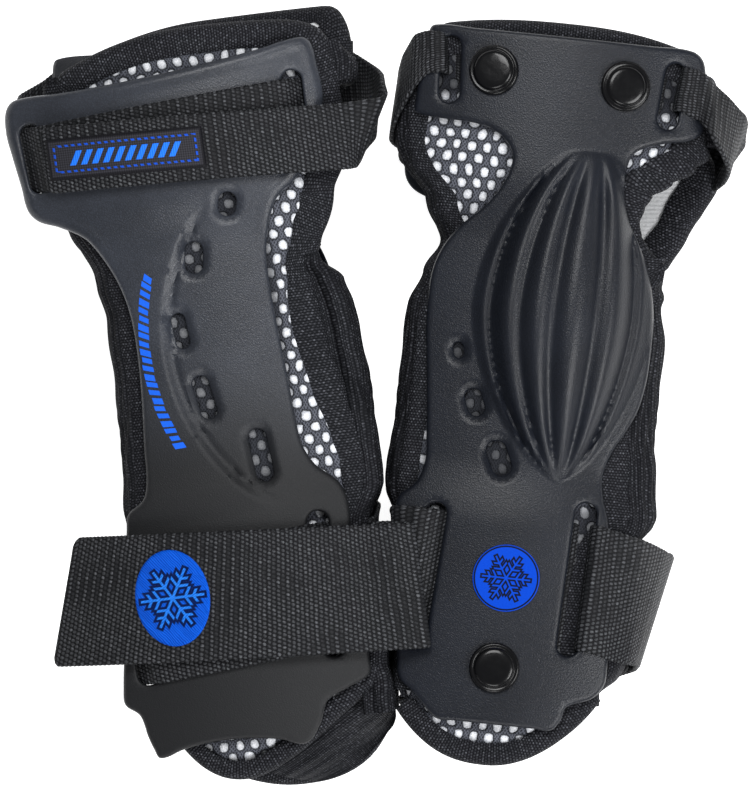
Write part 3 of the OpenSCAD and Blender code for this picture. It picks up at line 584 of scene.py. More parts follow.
# ---------------------------------------------------------------- dorsal plate
# A T of grained plastic along the back of the hand and forearm: two slots in the bar of
# the T for the hand strap, two on the forearm for the wide strap, a raised land that ends
# in a step along an arc, and five oval vents beside the step.
DORSAL_HAND, DORSAL_WAIST, DORSAL_FOREARM = 47.0, 21.5, 36.0
PLATE_SHIFT = {"left": -6.5, "right": 3.5}
PLATE_TWIST = 2.0
HAND_SLOTS = [[-40.9, 78.6, 1.5, 20.8], [38.4, 78.9, -3.0, 24.8]]
FOREARM_SLOTS = [[-34.1, -60.4, 7.5], [23.2, -61.2, 3.5]]
DORSAL_VENTS = [[13.7, 55.2, 8.4, 6.4, -15], [1.2, 41.2, 10.8, 6.4, -10], [-6.5, 20.3, 12, 5.2, 3],
                [-2.8, -0.4, 14.4, 6, 8], [10.8, -20.2, 17.2, 6.4, 3]]
LAND_AT, LAND_R, LAND_H = np.array([50.5, 13.0]), 62.5, 1.3
h, w, f = DORSAL_HAND, DORSAL_WAIST, DORSAL_FOREARM
# [v left, u left, v right, u right] down the plate's two edges
DORSAL_ROWS = [
    [97, -h + 3.3, 100.6, h - 3.4], [94.5, -h, 98.5, h - 0.7], [88, -h - 1.2, 92, h + 0.1],
    [80, -h - 0.5, 82, h + 0.3], [71, -h + 0.6, 74, h - 2.5], [63.8, -h + 1.3, 67, h - 6.5],
    [60, -h + 4, 62, h - 9.5], [57.1, -w - 15.6, 58.5, w + 12.8], [52.6, -w - 8.8, 54.5, w + 7.1],
    [47.4, -w - 5.2, 48, w + 3.7], [39, -w - 1.5, 39, w + 1.2], [29, -w + 0.8, 29, w + 0.6],
    [17, -w + 1.1, 17, w + 0.7], [2, -w, 2, w + 1.1], [-12.7, -w - 1.8, -12.7, w + 1.3],
    [-21.6, -w - 2.7, -20, w + 2.1], [-27.4, -w - 4.7, -26, w + 4.9], [-31, -f + 4.6, -31.5, f - 4.1],
    [-35.4, -f + 3.3, -37, f - 2.2], [-50, -f + 0.5, -50, f - 2.8], [-66, -f - 2.6, -66, f - 3.3],
    [-83, -f - 6, -85, f - 3.8], [-87, -f - 6, -90, f - 4.6], [-90.7, -f - 2.2, -92.7, f - 11.2],
    [-97.1, -f - 0.9, -95.5, f - 18.1], [-101, -f + 0.2, -101.6, f - 21.3],
    [-104.2, -f + 1.8, -106.8, f - 26.5]]


def row_outline(rows, top_bow, low_bow):
    """A closed outline down the right column of rows, across the last row, up the left
    column and across the first; the first and last rows bow by a parabola."""
    rows = np.array(rows, float)
    share = np.linspace(0, 1, 7)[1:-1]
    right, left = rows[:, [3, 2]], rows[::-1, [1, 0]]
    bow = np.stack([0 * share, 4 * share * (1 - share)], -1)
    low = mix(right[-1], left[0], share[:, None]) + low_bow * bow
    top = mix(left[-1], right[0], share[:, None]) + top_bow * bow
    return flowing(np.concatenate([right, low, left, top]))


def on_sleeve(side, uv):
    """The dorsal plate's own u, v to the sleeve's x, y: turned by the twist and shifted."""
    c, s = math.cos(math.radians(PLATE_TWIST)), math.sin(math.radians(PLATE_TWIST))
    u, v = uv[..., 0], uv[..., 1]
    return np.stack([PLATE_SHIFT[side] + u * c - v * s, u * s + v * c], -1)


def land(uv):
    """The raised land outside the arc: a step where the distance to the arc's centre
    passes its radius, a fine groove just inside it, faded out at both ends."""
    out = np.linalg.norm(uv - LAND_AT, axis=-1) - LAND_R
    ends = smooth((60 - uv[..., 1]) / 12) * smooth((uv[..., 1] + 37) / 10)
    return ends * (LAND_H * smooth(out / 1.1 + 0.5) - 0.8 * np.exp(-((out + 2.2) / 0.6) ** 2))


def vent_dish(uv, vents, depth, reach):
    """A shallow dish round each vent: depth at its edge, gone at reach."""
    sunk = np.zeros(len(uv))
    for u, v, length, width, tilt in vents:
        ring = stadium((u, v), length, width, tilt)
        away = edge_distance(uv, [ring])
        sunk = np.maximum(sunk, depth * smooth(1 - away / reach))
    return sunk


dorsal_loops = ([row_outline(DORSAL_ROWS, -2.2, 3.5)]
                + [stadium(s[:2], s[3], 6.0, s[2]) for s in HAND_SLOTS]
                + [stadium(s[:2], 43.6, 6.6, s[2] - 6) for s in FOREARM_SLOTS]
                + [stadium(v[:2], v[2] - 1.2, v[3] - 1.0, v[4]) for v in DORSAL_VENTS])
dorsal_flat = filled(dorsal_loops, DORSAL_MESH)
for side in SIDES:
    uv, distance = dorsal_flat[0], dorsal_flat[1]
    at = on_sleeve(side, uv)
    if side == "right":
        # Its forearm corners are drawn in, so they stay hidden behind the sleeve
        at[:, 0] = mix(at[:, 0], PLATE_SHIFT[side], 0.27 * smooth((-79 - at[:, 1]) / 10))
    under = back_z(at[:, 0], at[:, 1]) + lift(at[:, 1])
    from_edge = edge_distance(uv, dorsal_loops[:1])
    lip = 0.5 * np.exp(-((from_edge - 2.2) / 1.1) ** 2) * smooth((uv[:, 1] - 40) / 25)
    top = under + PLATE_T + land(uv) - vent_dish(uv, DORSAL_VENTS, 0.9, 1.8) + lip
    upper, lower, triangles, open_sides = plate(top, under, dorsal_flat)
    piece = plate_piece("dorsal_plate_skin", side, at, upper, lower, triangles, open_sides, dorsal_finish)
    worn(piece, side, "guard", "plate_plastic", "dorsal_plate")

# ---------------------------------------------------------------- palm plate
# The same plastic in another T, riveted to the palm. Between its neck and its forearm end
# a dome stands up in six ribs that run together at both ends, to slide on when the
# wearer falls. Three oval vents stand beside the dome.
PALM_HAND, PALM_NECK, PALM_DOME, PALM_FOREARM = 42.0, 17.0, 33.5, 31.5
DOME_H, DOME_HALF_L, DOME_HALF_W, DOME_MID, GROOVE = 11.0, 49.5, 27.0, 24.5, 3.9
# Where the creases between the ribs lie, as shares of the half width
CREASES = [-1, -0.81, -0.48, -0.12, 0.36, 0.76, 1]
PALM_HAND_SLOTS = [[-34.5, 94.4, 4], [32.2, 93, -4]]
PALM_FOREARM_SLOTS = [[-26.2, -56.5, -4, 43.6], [19.0, -53.4, -2, 46]]
PALM_VENTS = [[-23.2, 11.1, 6, 4, 14], [-16.8, -3.9, 9.6, 6, 22], [-7.9, -19.8, 12, 7, 25]]
RIVETS = [[-20.9, 95.2], [17.5, 94.4], [-2.8, -82]]
h, n, d, f = PALM_HAND, PALM_NECK, PALM_DOME, PALM_FOREARM
# [y, x left, x right] down the plate's two edges
PALM_ROWS = [
    [107.2, -h + 1.5, h - 5], [104, -h - 0.2, h - 1], [94, -h - 1, h + 0.2], [84, -h - 1.8, h + 0.8],
    [80.5, -h - 1.2, h - 3], [78.6, -h + 19, h - 11], [75, -n + 1, n + 6], [69.5, -n + 3.8, n + 4],
    [62, -n + 1.8, n + 4.2], [55, -n - 2.8, n + 6.2], [48, -d + 6.8, d - 6.5], [41, -d + 2.2, d - 3.1],
    [34, -d, d - 0.9], [26, -d - 0.4, d + 0.4], [17, -d - 0.1, d + 0.6], [8, -d + 1, d + 0.3],
    [-1, -d + 2, d - 1.3], [-8, -d + 2.8, d - 4.3], [-15, -d + 3.4, d - 8], [-22, -d + 3.9, d - 9.9],
    [-29, -f, f - 7], [-35.6, -f - 5.4, f - 5], [-58, -f - 3, f - 2.6], [-82, -f - 0.5, f - 0.7],
    [-88, -f + 0.8, f - 4], [-91.5, -f + 5, f - 11.6], [-95.5, -f + 9, f - 13], [-98.8, -f + 13.3, f - 15.7]]


def dome(x, y):
    """Height of the dome: h k^0.85 m^0.75, k = 1 - v^2 along it and m = 1 - u^2 across, less
    a crease between each two of its six ribs, whose backs are round: 1 - (sin^2 + 0.1)^0.4."""
    v = (y - DOME_MID) / DOME_HALF_L
    k = np.maximum(1 - v * v, 0)
    reach = DOME_HALF_W * np.where(v > 0, np.maximum(1 - (v / 1.06) ** 2, 0) ** 0.66,
                                   k ** 0.68 * (1 + 0.13 * v))
    u = np.clip(np.where(reach > 0.5, (x - mix(10.3, 6.6, k)) / np.maximum(reach, 0.5), 1), -1, 1)
    m = np.maximum(1 - u * u, 0)
    rib = np.abs(np.sin(math.pi * np.interp(u, CREASES, np.arange(7.0))))
    fade = smooth(k * 1.8) * smooth(m * 2.5)
    crease = GROOVE * (1 - (rib * rib + 0.10) ** 0.40) * fade
    return DOME_H * k ** 0.85 * m ** 0.75 * (0.55 + 0.45 * smooth(m * 1.3)) - crease


palm_loops = ([row_outline([[y, left, y, right] for y, left, right in PALM_ROWS], 0.0, 0.0)]
              + [stadium(s[:2], 20, 6.2, s[2]) for s in PALM_HAND_SLOTS]
              + [stadium(s[:2], s[3], 6.6, s[2]) for s in PALM_FOREARM_SLOTS]
              + [stadium(v[:2], v[2] - 1.2, v[3] - 1.0, v[4]) for v in PALM_VENTS])
palm_flat = filled(palm_loops, PALM_MESH)
for side in SIDES:
    at = palm_flat[0]
    under = palm_z(at[:, 0], at[:, 1]) - lift(at[:, 1])
    swell = dome(at[:, 0], at[:, 1])
    top = under - swell - PLATE_T + vent_dish(at, PALM_VENTS, 0.9, 1.8)
    upper, lower, triangles, open_sides = plate(top, under - swell, palm_flat)
    piece = plate_piece("palm_plate_skin", side, at, upper, lower, triangles, open_sides, palm_finish)
    worn(piece, side, "guard", "plate_plastic", "palm_plate")

# ---------------------------------------------------------------- padded layers
# Each layer is a pad of foam under an open mesh: black lacing with rounded openings about
# 2.6 mm wide that show a white ground. The pads are blown up a little by a cloth
# simulation, held down where a plate lies on them and free to swell beside it.
PAD_T, HOLE_ACROSS, HOLE_ALONG = 4.4, 4.7, 7.3


def mesh_fabric(side, palm):
    """Two sets of openings, the second half a step aside, each a rounded hexagon by the
    distance (|x/a|^2.4 + |y/b|^2.4)^(1/2.4) to its nearest centre; the lacing between them
    is raised, with threads that run both ways round the openings."""
    made = Finish(f"{side}_{'palm' if palm else 'dorsal'}_mesh_fabric")
    at = made.place(side)
    x, y, _ = made.parts(at)
    # Under the plates, seen through the vents and slots, the lacing and the white openings are painted
    # darker: painted shade cast by the plates
    at_x, at_y = guard_origin(side)
    own_x, own_y = x - at_x, y - at_y
    if palm:
        painted_plate_shade = (own_x + 16).abs().ramp(17, 12) * (own_y + 6).abs().ramp(27, 21) * 0.93
        painted_plate_shade = painted_plate_shade.high((own_y - 104).ramp(-19, -15) * 0.9).high((own_y + 57).abs().ramp(27, 23)
                               * own_x.abs().ramp(26, 23) * 0.8)
    else:
        painted_plate_shade = (own_x + 2).abs().ramp(20, 17) * (own_y - 16).abs().ramp(52, 46) * 0.82
    drift = made.parts(made.node("ShaderNodeTexNoise", None, out="Color", Vector=at, Scale=0.12, Detail=2.0))
    x, y = x + (drift[0] - 0.5) * 2.6, y + (drift[1] - 0.5) * 2.6

    def centre_distance(shift_x, shift_y):
        across = (((x + shift_x).wrapped(HOLE_ACROSS) - HOLE_ACROSS / 2) / 1.32).abs()
        along = (((y + shift_y).wrapped(HOLE_ALONG) - HOLE_ALONG / 2) / 1.55).abs()
        return (across.power(2.4) + along.power(2.4)).power(1 / 2.4)

    away = centre_distance(0.0, 0.0).low(centre_distance(HOLE_ACROSS / 2, HOLE_ALONG / 2))
    fray = made.noise(at, 1.5, 2.0, 0.6)
    away = away + (fray - 0.5) * 0.42
    opening = away.ramp(1.10, 0.86)
    thread = ((x * 1.55 + y) * 4.4).cos().high(((x * 1.55 - y) * 4.4).cos()) * 0.5 + 0.5
    fuzz = made.noise(at, 2.1, 3.0, 0.6)
    # The strands are painted darker where they meet the openings: painted shade at the holes' rims
    strand = (thread.power(2.0) * 0.65 + fuzz * 0.5) * away.ramp(0.9, 1.5)
    lace = made.blend(strand, (0.006, 0.0065, 0.009), (0.120, 0.128, 0.155))
    # The white ground is painted darker towards each opening's rim: painted shade under the lacing
    ground = made.blend(fuzz.ramp(0.3, 0.7) * 0.5 + away.ramp(0.9, 0.2) * 0.5,
                        (0.30, 0.32, 0.36), (0.90, 0.91, 0.94))
    height = (1 - opening) * (0.75 + thread * 0.25) + fuzz * 0.15
    # Painted shade: under the plates the lacing is painted darker and the white openings nearly shut
    lace = made.blend(painted_plate_shade, lace, made.blend(fuzz, (0.004, 0.0045, 0.006), (0.020, 0.022, 0.028)))
    return made.shade(Base_Color=made.blend(opening * (1 - painted_plate_shade), lace, ground), Roughness=0.85,
                      Normal=made.relief(height, 0.8), Specular_IOR_Level=0.15)


# x of the dorsal thumb tape's outer and inner edges, down the arm
BAND_OUT = [[-100, 31], [-80, 31], [-60, 33], [-45, 35], [-30, 36.2], [-17, 34.8], [-5.6, 32.1],
            [10, 29.8], [25, 28.7], [37, 28.6], [44, 31]]
BAND_IN = [[-100, 26], [-84, 25.5], [-60, 26], [-40, 27.5], [-27.4, 26.1], [-18, 24], [-4, 21], [9.3, 19.1],
           [16.9, 18.3], [24.5, 18.4], [33.9, 20.2], [43.7, 22.3], [48.5, 24.5], [60.1, 27.9],
           [70, 31], [95, 34]]


def pad_points(side, palm):
    """A pad's two faces, 0.3 mm short of the layer's long edges and 4 mm of its ends."""
    share = np.linspace(-1, 1, 29)[None] * 0.992
    down = np.linspace(0, 1, 64)[:, None]
    y = mix(end_y(side, palm, "finger", share) - 4.0, end_y(side, palm, "forearm", share) + 4.0, down)
    share = share + 0 * y
    if not palm:
        # On the thumb side the dorsal pad ends beneath the broad tape
        narrower = mix((follow(BAND_OUT, y) - 2.5) / edge_x(y), 1, smooth((y - 36) / 6))
        share = share * np.where(share > 0, narrower, 1)
    return [layer_point(side, palm, share, y, depth) for depth in (0.25, PAD_T - 0.25)]


def blown(points, faces, held):
    """A closed pad remeshed at 2.4 mm and blown up by 20 steps of cloth under pressure; held
    gives the most that a point at x, y may move, in millimetres."""
    mesh = bpy.data.meshes.new("pad_blank")
    mesh.from_pydata((points * MM).tolist(), [], [f for part in faces for f in part.tolist()])
    pad = new_object("pad_blank", mesh)
    remesh = pad.modifiers.new("even", "REMESH")
    remesh.mode, remesh.voxel_size = "VOXEL", 2.4 * MM
    start, quads = applied(pad)
    pad.modifiers.clear()
    pad.data = bpy.data.meshes.new("pad_even")
    pad.data.from_pydata((start * MM).tolist(), [], quads.tolist())
    cloth = pad.modifiers.new("blow", "CLOTH")
    cloth.settings.use_pressure = True
    cloth.settings.uniform_pressure_force = 4
    cloth.settings.quality = 4
    cloth.settings.effector_weights.gravity = 0
    for step in range(1, 21):
        bpy.context.scene.frame_set(step)
        bpy.context.view_layer.update()
    end, _ = applied(pad)
    move = end - start
    far = np.linalg.norm(move, axis=1)
    move *= np.minimum(1, held(start) / np.maximum(far, 1e-9))[:, None]
    start = start + move
    bpy.context.scene.frame_set(1)
    bpy.data.objects.remove(pad)
    return start, quads


def applied(piece):
    """A piece's points in millimetres and its four-cornered faces, modifiers applied."""
    mesh = piece.evaluated_get(bpy.context.evaluated_depsgraph_get()).to_mesh()
    points = np.empty(len(mesh.vertices) * 3)
    mesh.vertices.foreach_get("co", points)
    corners = np.empty(len(mesh.loops), np.int32)
    mesh.loops.foreach_get("vertex_index", corners)
    return points.reshape(-1, 3) / MM, corners.reshape(-1, 4)


def beside_plate(side, palm):
    """How far a pad may swell at a point: 0.1 mm under its plate, 1.5 mm clear of it."""
    def held(points):
        at = points[:, :2]
        loops = [palm_loops[0] if palm else on_sleeve(side, dorsal_loops[0])]
        away = np.where(inside(at, loops), 0, edge_distance(at, loops))
        return 0.1 + 1.4 * smooth(away / 5)
    return held


LAYERS = [(side, palm, name) for side in SIDES for palm, name in ((False, "dorsal"), (True, "palm"))]
for side, palm, name in LAYERS:
    points, quads = blown(*closed_sheet(*pad_points(side, palm)), beside_plate(side, palm))
    piece = new_piece(f"{name}_pad", side, given(side, points), [quads], mesh_fabric(side, palm), sharp=80)
    smoothing = piece.modifiers.new("soften", "SUBSURF")
    smoothing.levels = smoothing.render_levels = 1
    worn(piece, side, "guard", "mesh_fabric", f"{name}_panel", f"{name}_foam")

# ---------------------------------------------------------------- lining
# A white brushed knit inside both layers, seen through the thumb hole and the open ends.
lining_finish = Finish("brushed_lining")
nap = lining_finish.place()
fluff = lining_finish.noise(nap, 0.9, 4.0, 0.6)
course = (lining_finish.parts(nap)[1] * 5.0).cos() * 0.5 + 0.5
lining_finish.shade(Base_Color=lining_finish.blend(fluff, (0.60, 0.61, 0.63), (0.86, 0.87, 0.88)),
                    Roughness=0.95, Specular_IOR_Level=0.15,
                    Normal=lining_finish.relief(fluff * 0.7 + course * 0.3, 0.3))
for side, palm, name in LAYERS:
    share = np.linspace(-1, 1, 33)[None] * 0.93
    down = np.linspace(0, 1, 70)[:, None]
    y = mix(end_y(side, palm, "finger", share) - 4.0, end_y(side, palm, "forearm", share) + 3.0, down)
    share = share + 0 * y
    slack = 0.25 * np.sin(y / 9 + 3 * share) * np.sin(2.2 * share + y / 31)
    slack = np.stack([0 * y, 0 * y, slack * (1 if palm else -1)], -1) * 0.5
    faces = [given(side, layer_point(side, palm, share, y, WALL_T - deep) + slack) for deep in (0.8, 0.1)]
    piece = new_piece(f"{name}_lining_cloth", side, *closed_sheet(*faces), lining_finish)
    worn(piece, side, "guard", "lining_fabric", f"{name}_lining")

# ---------------------------------------------------------------- binding tape
# Black woven tape, folded over every raw edge of the two layers and sewn through near its
# inner edges. It also runs up both long seams and round the thumb hole.
LAYER_HALF = WALL_T / 2
# 1 beneath the wide strap and 0 clear of it, down the arm
STRAP_ZONE = [[-92, 0], [-85, 1], [-40, 1], [-33, 0]]


def black_cloth(name, column, stitch, depth, light, stretch):
    """Woven or knitted columns: rows of short raised stitches, every other column half a
    stitch along, on the piece's own map. stretch lets the set between fade by noise."""
    made = Finish(name)
    along, across = made.cloth()
    at = made.joined(along, across)
    sway = made.noise(at, 0.16, 2.0) - 0.5
    along, across = along + sway * 0.8, across + sway * 0.5
    number = (along / column).floor()
    odd = number.wrapped(2.0)
    ridge = 1 - (((along / column).wrapped(1.0) - 0.5) * 2).abs().power(2.2)
    dash = ((across / stitch + odd * 0.5) * (2 * math.pi)).cos() * 0.5 + 0.5
    strength = 1 - odd * (made.noise(at, 0.05, 2.0).ramp(0.42, 0.62) * stretch)
    relief = ridge * (0.35 + dash.power(1.5) * 0.65) * strength
    fuzz = made.noise(at, 2.2, 3.0, 0.65)
    # Bright flecks by noise in the colour are painted glints on the fibres
    painted_glint = made.noise(at, 0.9, 2.0, 0.6).ramp(0.48, 0.70)
    dusty = made.noise(at, 0.06, 3.0)
    colour = made.blend((relief * 0.8 + fuzz * 0.35).ramp(0.25, 1.0) * (0.25 + painted_glint * 1.0),
                        (0.0042, 0.0046, 0.0062), (light, light * 1.04, light * 1.2))
    return made.shade(Base_Color=colour, Roughness=0.80 - relief * 0.12 + dusty * 0.05,
                      Specular_IOR_Level=0.12, Normal=made.relief(relief * 0.85 + fuzz * 0.2, depth))


tape_finish = black_cloth("woven_tape", 0.82, 0.98, 0.35, 0.105, 0.3)


def arc_length(points, axis):
    """Distance run along one axis of a grid of points."""
    step = np.linalg.norm(np.diff(points, axis=axis), axis=-1)
    start = np.zeros_like(np.take(step, [0], axis))
    return np.concatenate([start, np.cumsum(step, axis)], axis)


def tape_section(width, lower_width, half, height):
    """The folded tape's outer line seen end on, as distance in from the edge and height:
    along the top, round the edge by a half circle and back beneath. It sinks at both sewn
    edges and in the row of stitches. width may be one number or one for each place."""
    width, lower_width = np.broadcast_arrays(*[np.reshape(w, (-1, 1)) * 1.0 for w in (width, lower_width)])
    top = width * np.linspace(1, 0, 15)
    turn = np.linspace(0, math.pi, 11)[1:-1] + 0 * width
    low = lower_width * np.linspace(0, 1, 11)

    def proud(inward, whole):
        tail = whole - inward
        sewn_edge, stitches = np.exp(-(tail / 0.9) ** 2), np.exp(-((tail - 1.9) / 0.45) ** 2)
        return height - 0.55 * height * sewn_edge - 0.3 * height * stitches

    inward = np.concatenate([top, -(half * 0.75 + height) * np.sin(turn), low], 1)
    rise = np.concatenate([half + proud(top, width), (half + height) * np.cos(turn),
                           -half - proud(low, lower_width)], 1)
    return inward, rise


def tape(name, side, line, inward, normal, width, lower_width, half=LAYER_HALF, height=1.0,
         stands_for=(), flat=None):
    """Tape folded over a layer's edge. line is the middle of the edge, inward and normal the
    directions into the layer and out of its face at each point of the line. flat is how much
    of the height is taken away at each point, where webbing lies on the tape."""
    press = np.zeros(len(line)) if flat is None else flat
    spread, lift_up = tape_section(width, lower_width, half, height)
    low_spread, low_lift = tape_section(width, lower_width, half, 0.12)
    inward, normal = unit(inward), unit(normal)

    def skin(across, up):
        return line[:, None] + across[..., None] * inward[:, None] + up[..., None] * normal[:, None]

    share = press[:, None]
    outer = skin(mix(spread, low_spread, share * 0.75), mix(lift_up, low_lift, share * 0.75))
    inner = skin(low_spread + 0 * share, low_lift * 0.98 + 0 * share)
    points, faces = closed_sheet(given(side, outer), given(side, inner))
    cloth = np.stack([arc_length(outer, 0).mean(1, keepdims=True) + 0 * outer[..., 0],
                      arc_length(outer, 1).mean(0, keepdims=True) + 0 * outer[..., 0]], -1)
    piece = new_piece(name, side, points, faces, tape_finish, cloth)
    worn(piece, side, "guard", "binding_tape", *stands_for)


def face_frame(palm, x, y):
    """Middle of a layer at x, y and its outward normal."""
    sign = -1 if palm else 1
    face = palm_z if palm else back_z
    step = 0.1
    dx = (face(x + step, y) - face(x - step, y)) / (2 * step)
    dy = (face(x, y + step) - face(x, y - step)) / (2 * step)
    middle = np.stack([x, y, face(x, y) - sign * LAYER_HALF], -1)
    return middle, sign * np.stack([-dx, -dy, np.ones_like(x)], -1)


TAPE_REACH = 3.0
END_WIDTH = {("dorsal", "finger"): 5.2, ("palm", "finger"): 7.0,
             ("dorsal", "forearm"): 2.6, ("palm", "forearm"): 3.6}
for side, palm, name in LAYERS:
    share = np.linspace(-1, 1, 161)
    for end in ("finger", "forearm"):
        y = end_y(side, palm, end, share) - (TAPE_REACH if end == "finger" else -TAPE_REACH)
        x = side_at(side, palm, share, y)
        x = x - np.sign(x) * TAPE_REACH * smooth((np.abs(share) - 0.85) / 0.15) * (end == "finger")
        line, normal = face_frame(palm, x, y)
        run = np.gradient(line, axis=0)
        inward = np.cross(normal, run)
        inward *= np.sign(inward[:, 1:2].mean()) * (-1 if end == "finger" else 1)
        # Near the left palm's thumb corner the tape is sewn shallow and the lining shows
        there = side == "left" and palm and end == "finger"
        shallow = 4.2 * np.exp(-((share - 0.80) / 0.07) ** 2) * there
        tape(f"{name}_{end}_tape", side, line, inward, normal, width=END_WIDTH[name, end],
             lower_width=6 - shallow, stands_for=[f"{name}_{end}_binding"])

# ---------------------------------------------------------------- knitted gussets
# Stretch knit joins the two layers down both sides. Slack in it gathers into long folds,
# the deepest one beside the dorsal layer's thumb edge.
knit_finish = black_cloth("stretch_knit", 0.86, 0.92, 0.32, 0.085, 0.5)
THUMB_TOP, THUMB_LOW = {"left": 88.0, "right": 81.5}, {"left": 40.5, "right": 43.0}


def gusset(name, side, thumb, y, top_strip, low_strip, node):
    """A C-shaped wall: strips of the given widths on both faces joined by half an ellipse,
    raised into folds by cosines across it and sunk by a deep valley on the thumb side."""
    sign = 1 if thumb else -1
    # Its first rows below the thumb hole are drawn in behind the tape
    x0 = edge_x(y) + SEAM_GAP - (2.4 * (1 - smooth((y[0] - y) / 3.5)) if thumb and y[-1] < 0 else 0)
    high, low = back_z(x0, y), palm_z(x0, y)
    turn = np.linspace(math.pi / 2, -math.pi / 2, 41)
    # The wall starts flat below the thumb hole and at the fingers, and swells within 10 mm
    full = smooth((y[0] + (1.5 if y[-1] > 0 else -1) - y) / 10)[:, None]
    if side == "right":
        full = full * smooth((y - y[-1] + 1) / 9)[:, None] if y[-1] < 0 else full
    round_x = x0[:, None] + ((GUSSET_SWELL + 1.4) * full - 1.4) * np.cos(turn)
    round_z = ((high + low) / 2)[:, None] + ((high - low) / 2)[:, None] * np.sin(turn)
    in_top = np.linspace(top_strip, 0, 14)[:-1]
    in_low = np.linspace(0, low_strip, 14)[1:]
    top_x, low_x = x0[:, None] - in_top, x0[:, None] - in_low
    x = np.concatenate([top_x, round_x, low_x], 1)
    z = np.concatenate([back_z(top_x, y[:, None]), round_z, palm_z(low_x, y[:, None])], 1)
    base = np.stack([x, y[:, None] + 0 * x, z], -1)
    along = np.gradient(base, axis=1)
    out = unit(np.stack([-along[..., 2], 0 * x, along[..., 0]], -1))
    run = arc_length(base, 1) - top_strip
    ends = np.minimum(smooth((run + top_strip) / 1.5), smooth((run[:, -1:] - run) / 1.5))
    loose = 1 - follow(STRAP_ZONE, y[:, None]) * 0.8
    sway = 2.2 * np.sin(y[:, None] / 21) + 0.9 * np.sin(y[:, None] / 8.3 + 1)
    folds = (0.42 * np.cos(2 * math.pi * (run + sway) / 3.4)
             + 0.35 * np.cos(2 * math.pi * (run + 0.6 * sway) / 8.1)
             + 0.12 * np.sin(y[:, None] / 3.1 + run / 1.9))
    beside_tape = thumb and top_strip > 4
    valley = 2.6 * np.exp(-((run + top_strip - 2.0 - 0.15 * sway) / 1.1) ** 2) * beside_tape
    roll = 1.3 * full * np.exp(-((run - 0.5) / 3.0) ** 2) * (1 if beside_tape else 0.3)
    proud = 0.35 + ends * (folds * full * loose + roll * loose) - valley * loose * full
    outer = base + out * proud[..., None]
    inner = base - out * 1.6
    mirror = np.array([sign, 1, 1])
    points, faces = closed_sheet(given(side, outer * mirror), given(side, inner * mirror))
    cloth = np.stack([run + 0 * x, y[:, None] + 0 * x], -1)
    piece = new_piece(name, side, points, faces, knit_finish, cloth)
    worn(piece, side, "guard", "black_knit", node)


for side in SIDES:
    low_end = GUSSET_LOW[side]
    gusset("finger_side_knit", side, False, np.linspace(GUSSET_TOP, low_end, 230), 1.5, 1.5,
           "finger_side_gusset")
    thumb_end = low_end + (3.6 if side == "right" else 0)
    gusset("thumb_side_knit", side, True, np.linspace(THUMB_LOW[side], thumb_end, 160), 5.5, 6.0,
           "thumb_side_gusset")
    gusset("thumb_bridge_knit", side, True, np.linspace(GUSSET_TOP, THUMB_TOP[side], 20), 3.0, 3.0,
           "thumb_bridge")


def gathered_end(side):
    """Beyond the left dorsal layer's slanted end the thumb-side knit is gathered: a wall from
    that end down to the palm layer's round end, bulged out by a sine and folded along."""
    along = np.linspace(0, 1, 110)[:, None]
    down = np.linspace(0, 1, 60)[None]
    high_share, round_corner = mix(-0.30, 1.0, along), mix(0.30, 1.45, along)
    low_share = np.minimum(round_corner, 1.0)
    high_y = end_y(side, False, "forearm", high_share) + 2.6
    low_y = end_y(side, True, "forearm", low_share) + 1.6 + np.maximum(round_corner - 1, 0) / 0.45 * 12.5
    high_x = high_share * edge_x(high_y)
    low_x = low_share * (edge_x(low_y) + 1.0) + 3.2 * smooth((along - 0.45) / 0.25)
    high_z = back_z(high_x, high_y) - 4.6
    hang = smooth((along - 0.35) / 0.4)
    low_z = mix(high_z - 13, palm_z(low_x, low_y) + 3.4, hang)
    top = np.concatenate([high_x, high_y, high_z], 1)[:, None]
    foot = np.concatenate([low_x, low_y, low_z], 1)[:, None]
    out = unit(np.stack([np.sin(along * 1.35), -np.cos(along * 1.35), 0 * along], -1))
    share = down[..., None]
    flat = top + (foot - top) * np.concatenate([share, share, (1 - np.cos(math.pi * share ** 1.2)) / 2], -1)
    width = np.linalg.norm((foot - top)[..., :2], axis=-1)
    bulge = np.sin(math.pi * down)
    fold = 0.32 * np.cos(2 * math.pi * (down * width / 3.9 + 0.25 * np.sin(7 * along))) * bulge
    swell = (1.2 + 2.2 * hang) * bulge
    outer = flat + out * swell[..., None] + np.stack([0 * fold, 0 * fold, fold * 1.6], -1)
    inner = outer - out * 0.8 - np.array([0, 0, 1.2])
    points, faces = closed_sheet(given(side, outer), given(side, inner))
    cloth = np.stack([down * (width + 4) + 0 * along, 70 * along + 0 * down], -1)
    piece = new_piece("gathered_end_knit", side, points, faces, knit_finish, cloth)
    worn(piece, side, "guard", "black_knit")


gathered_end("left")

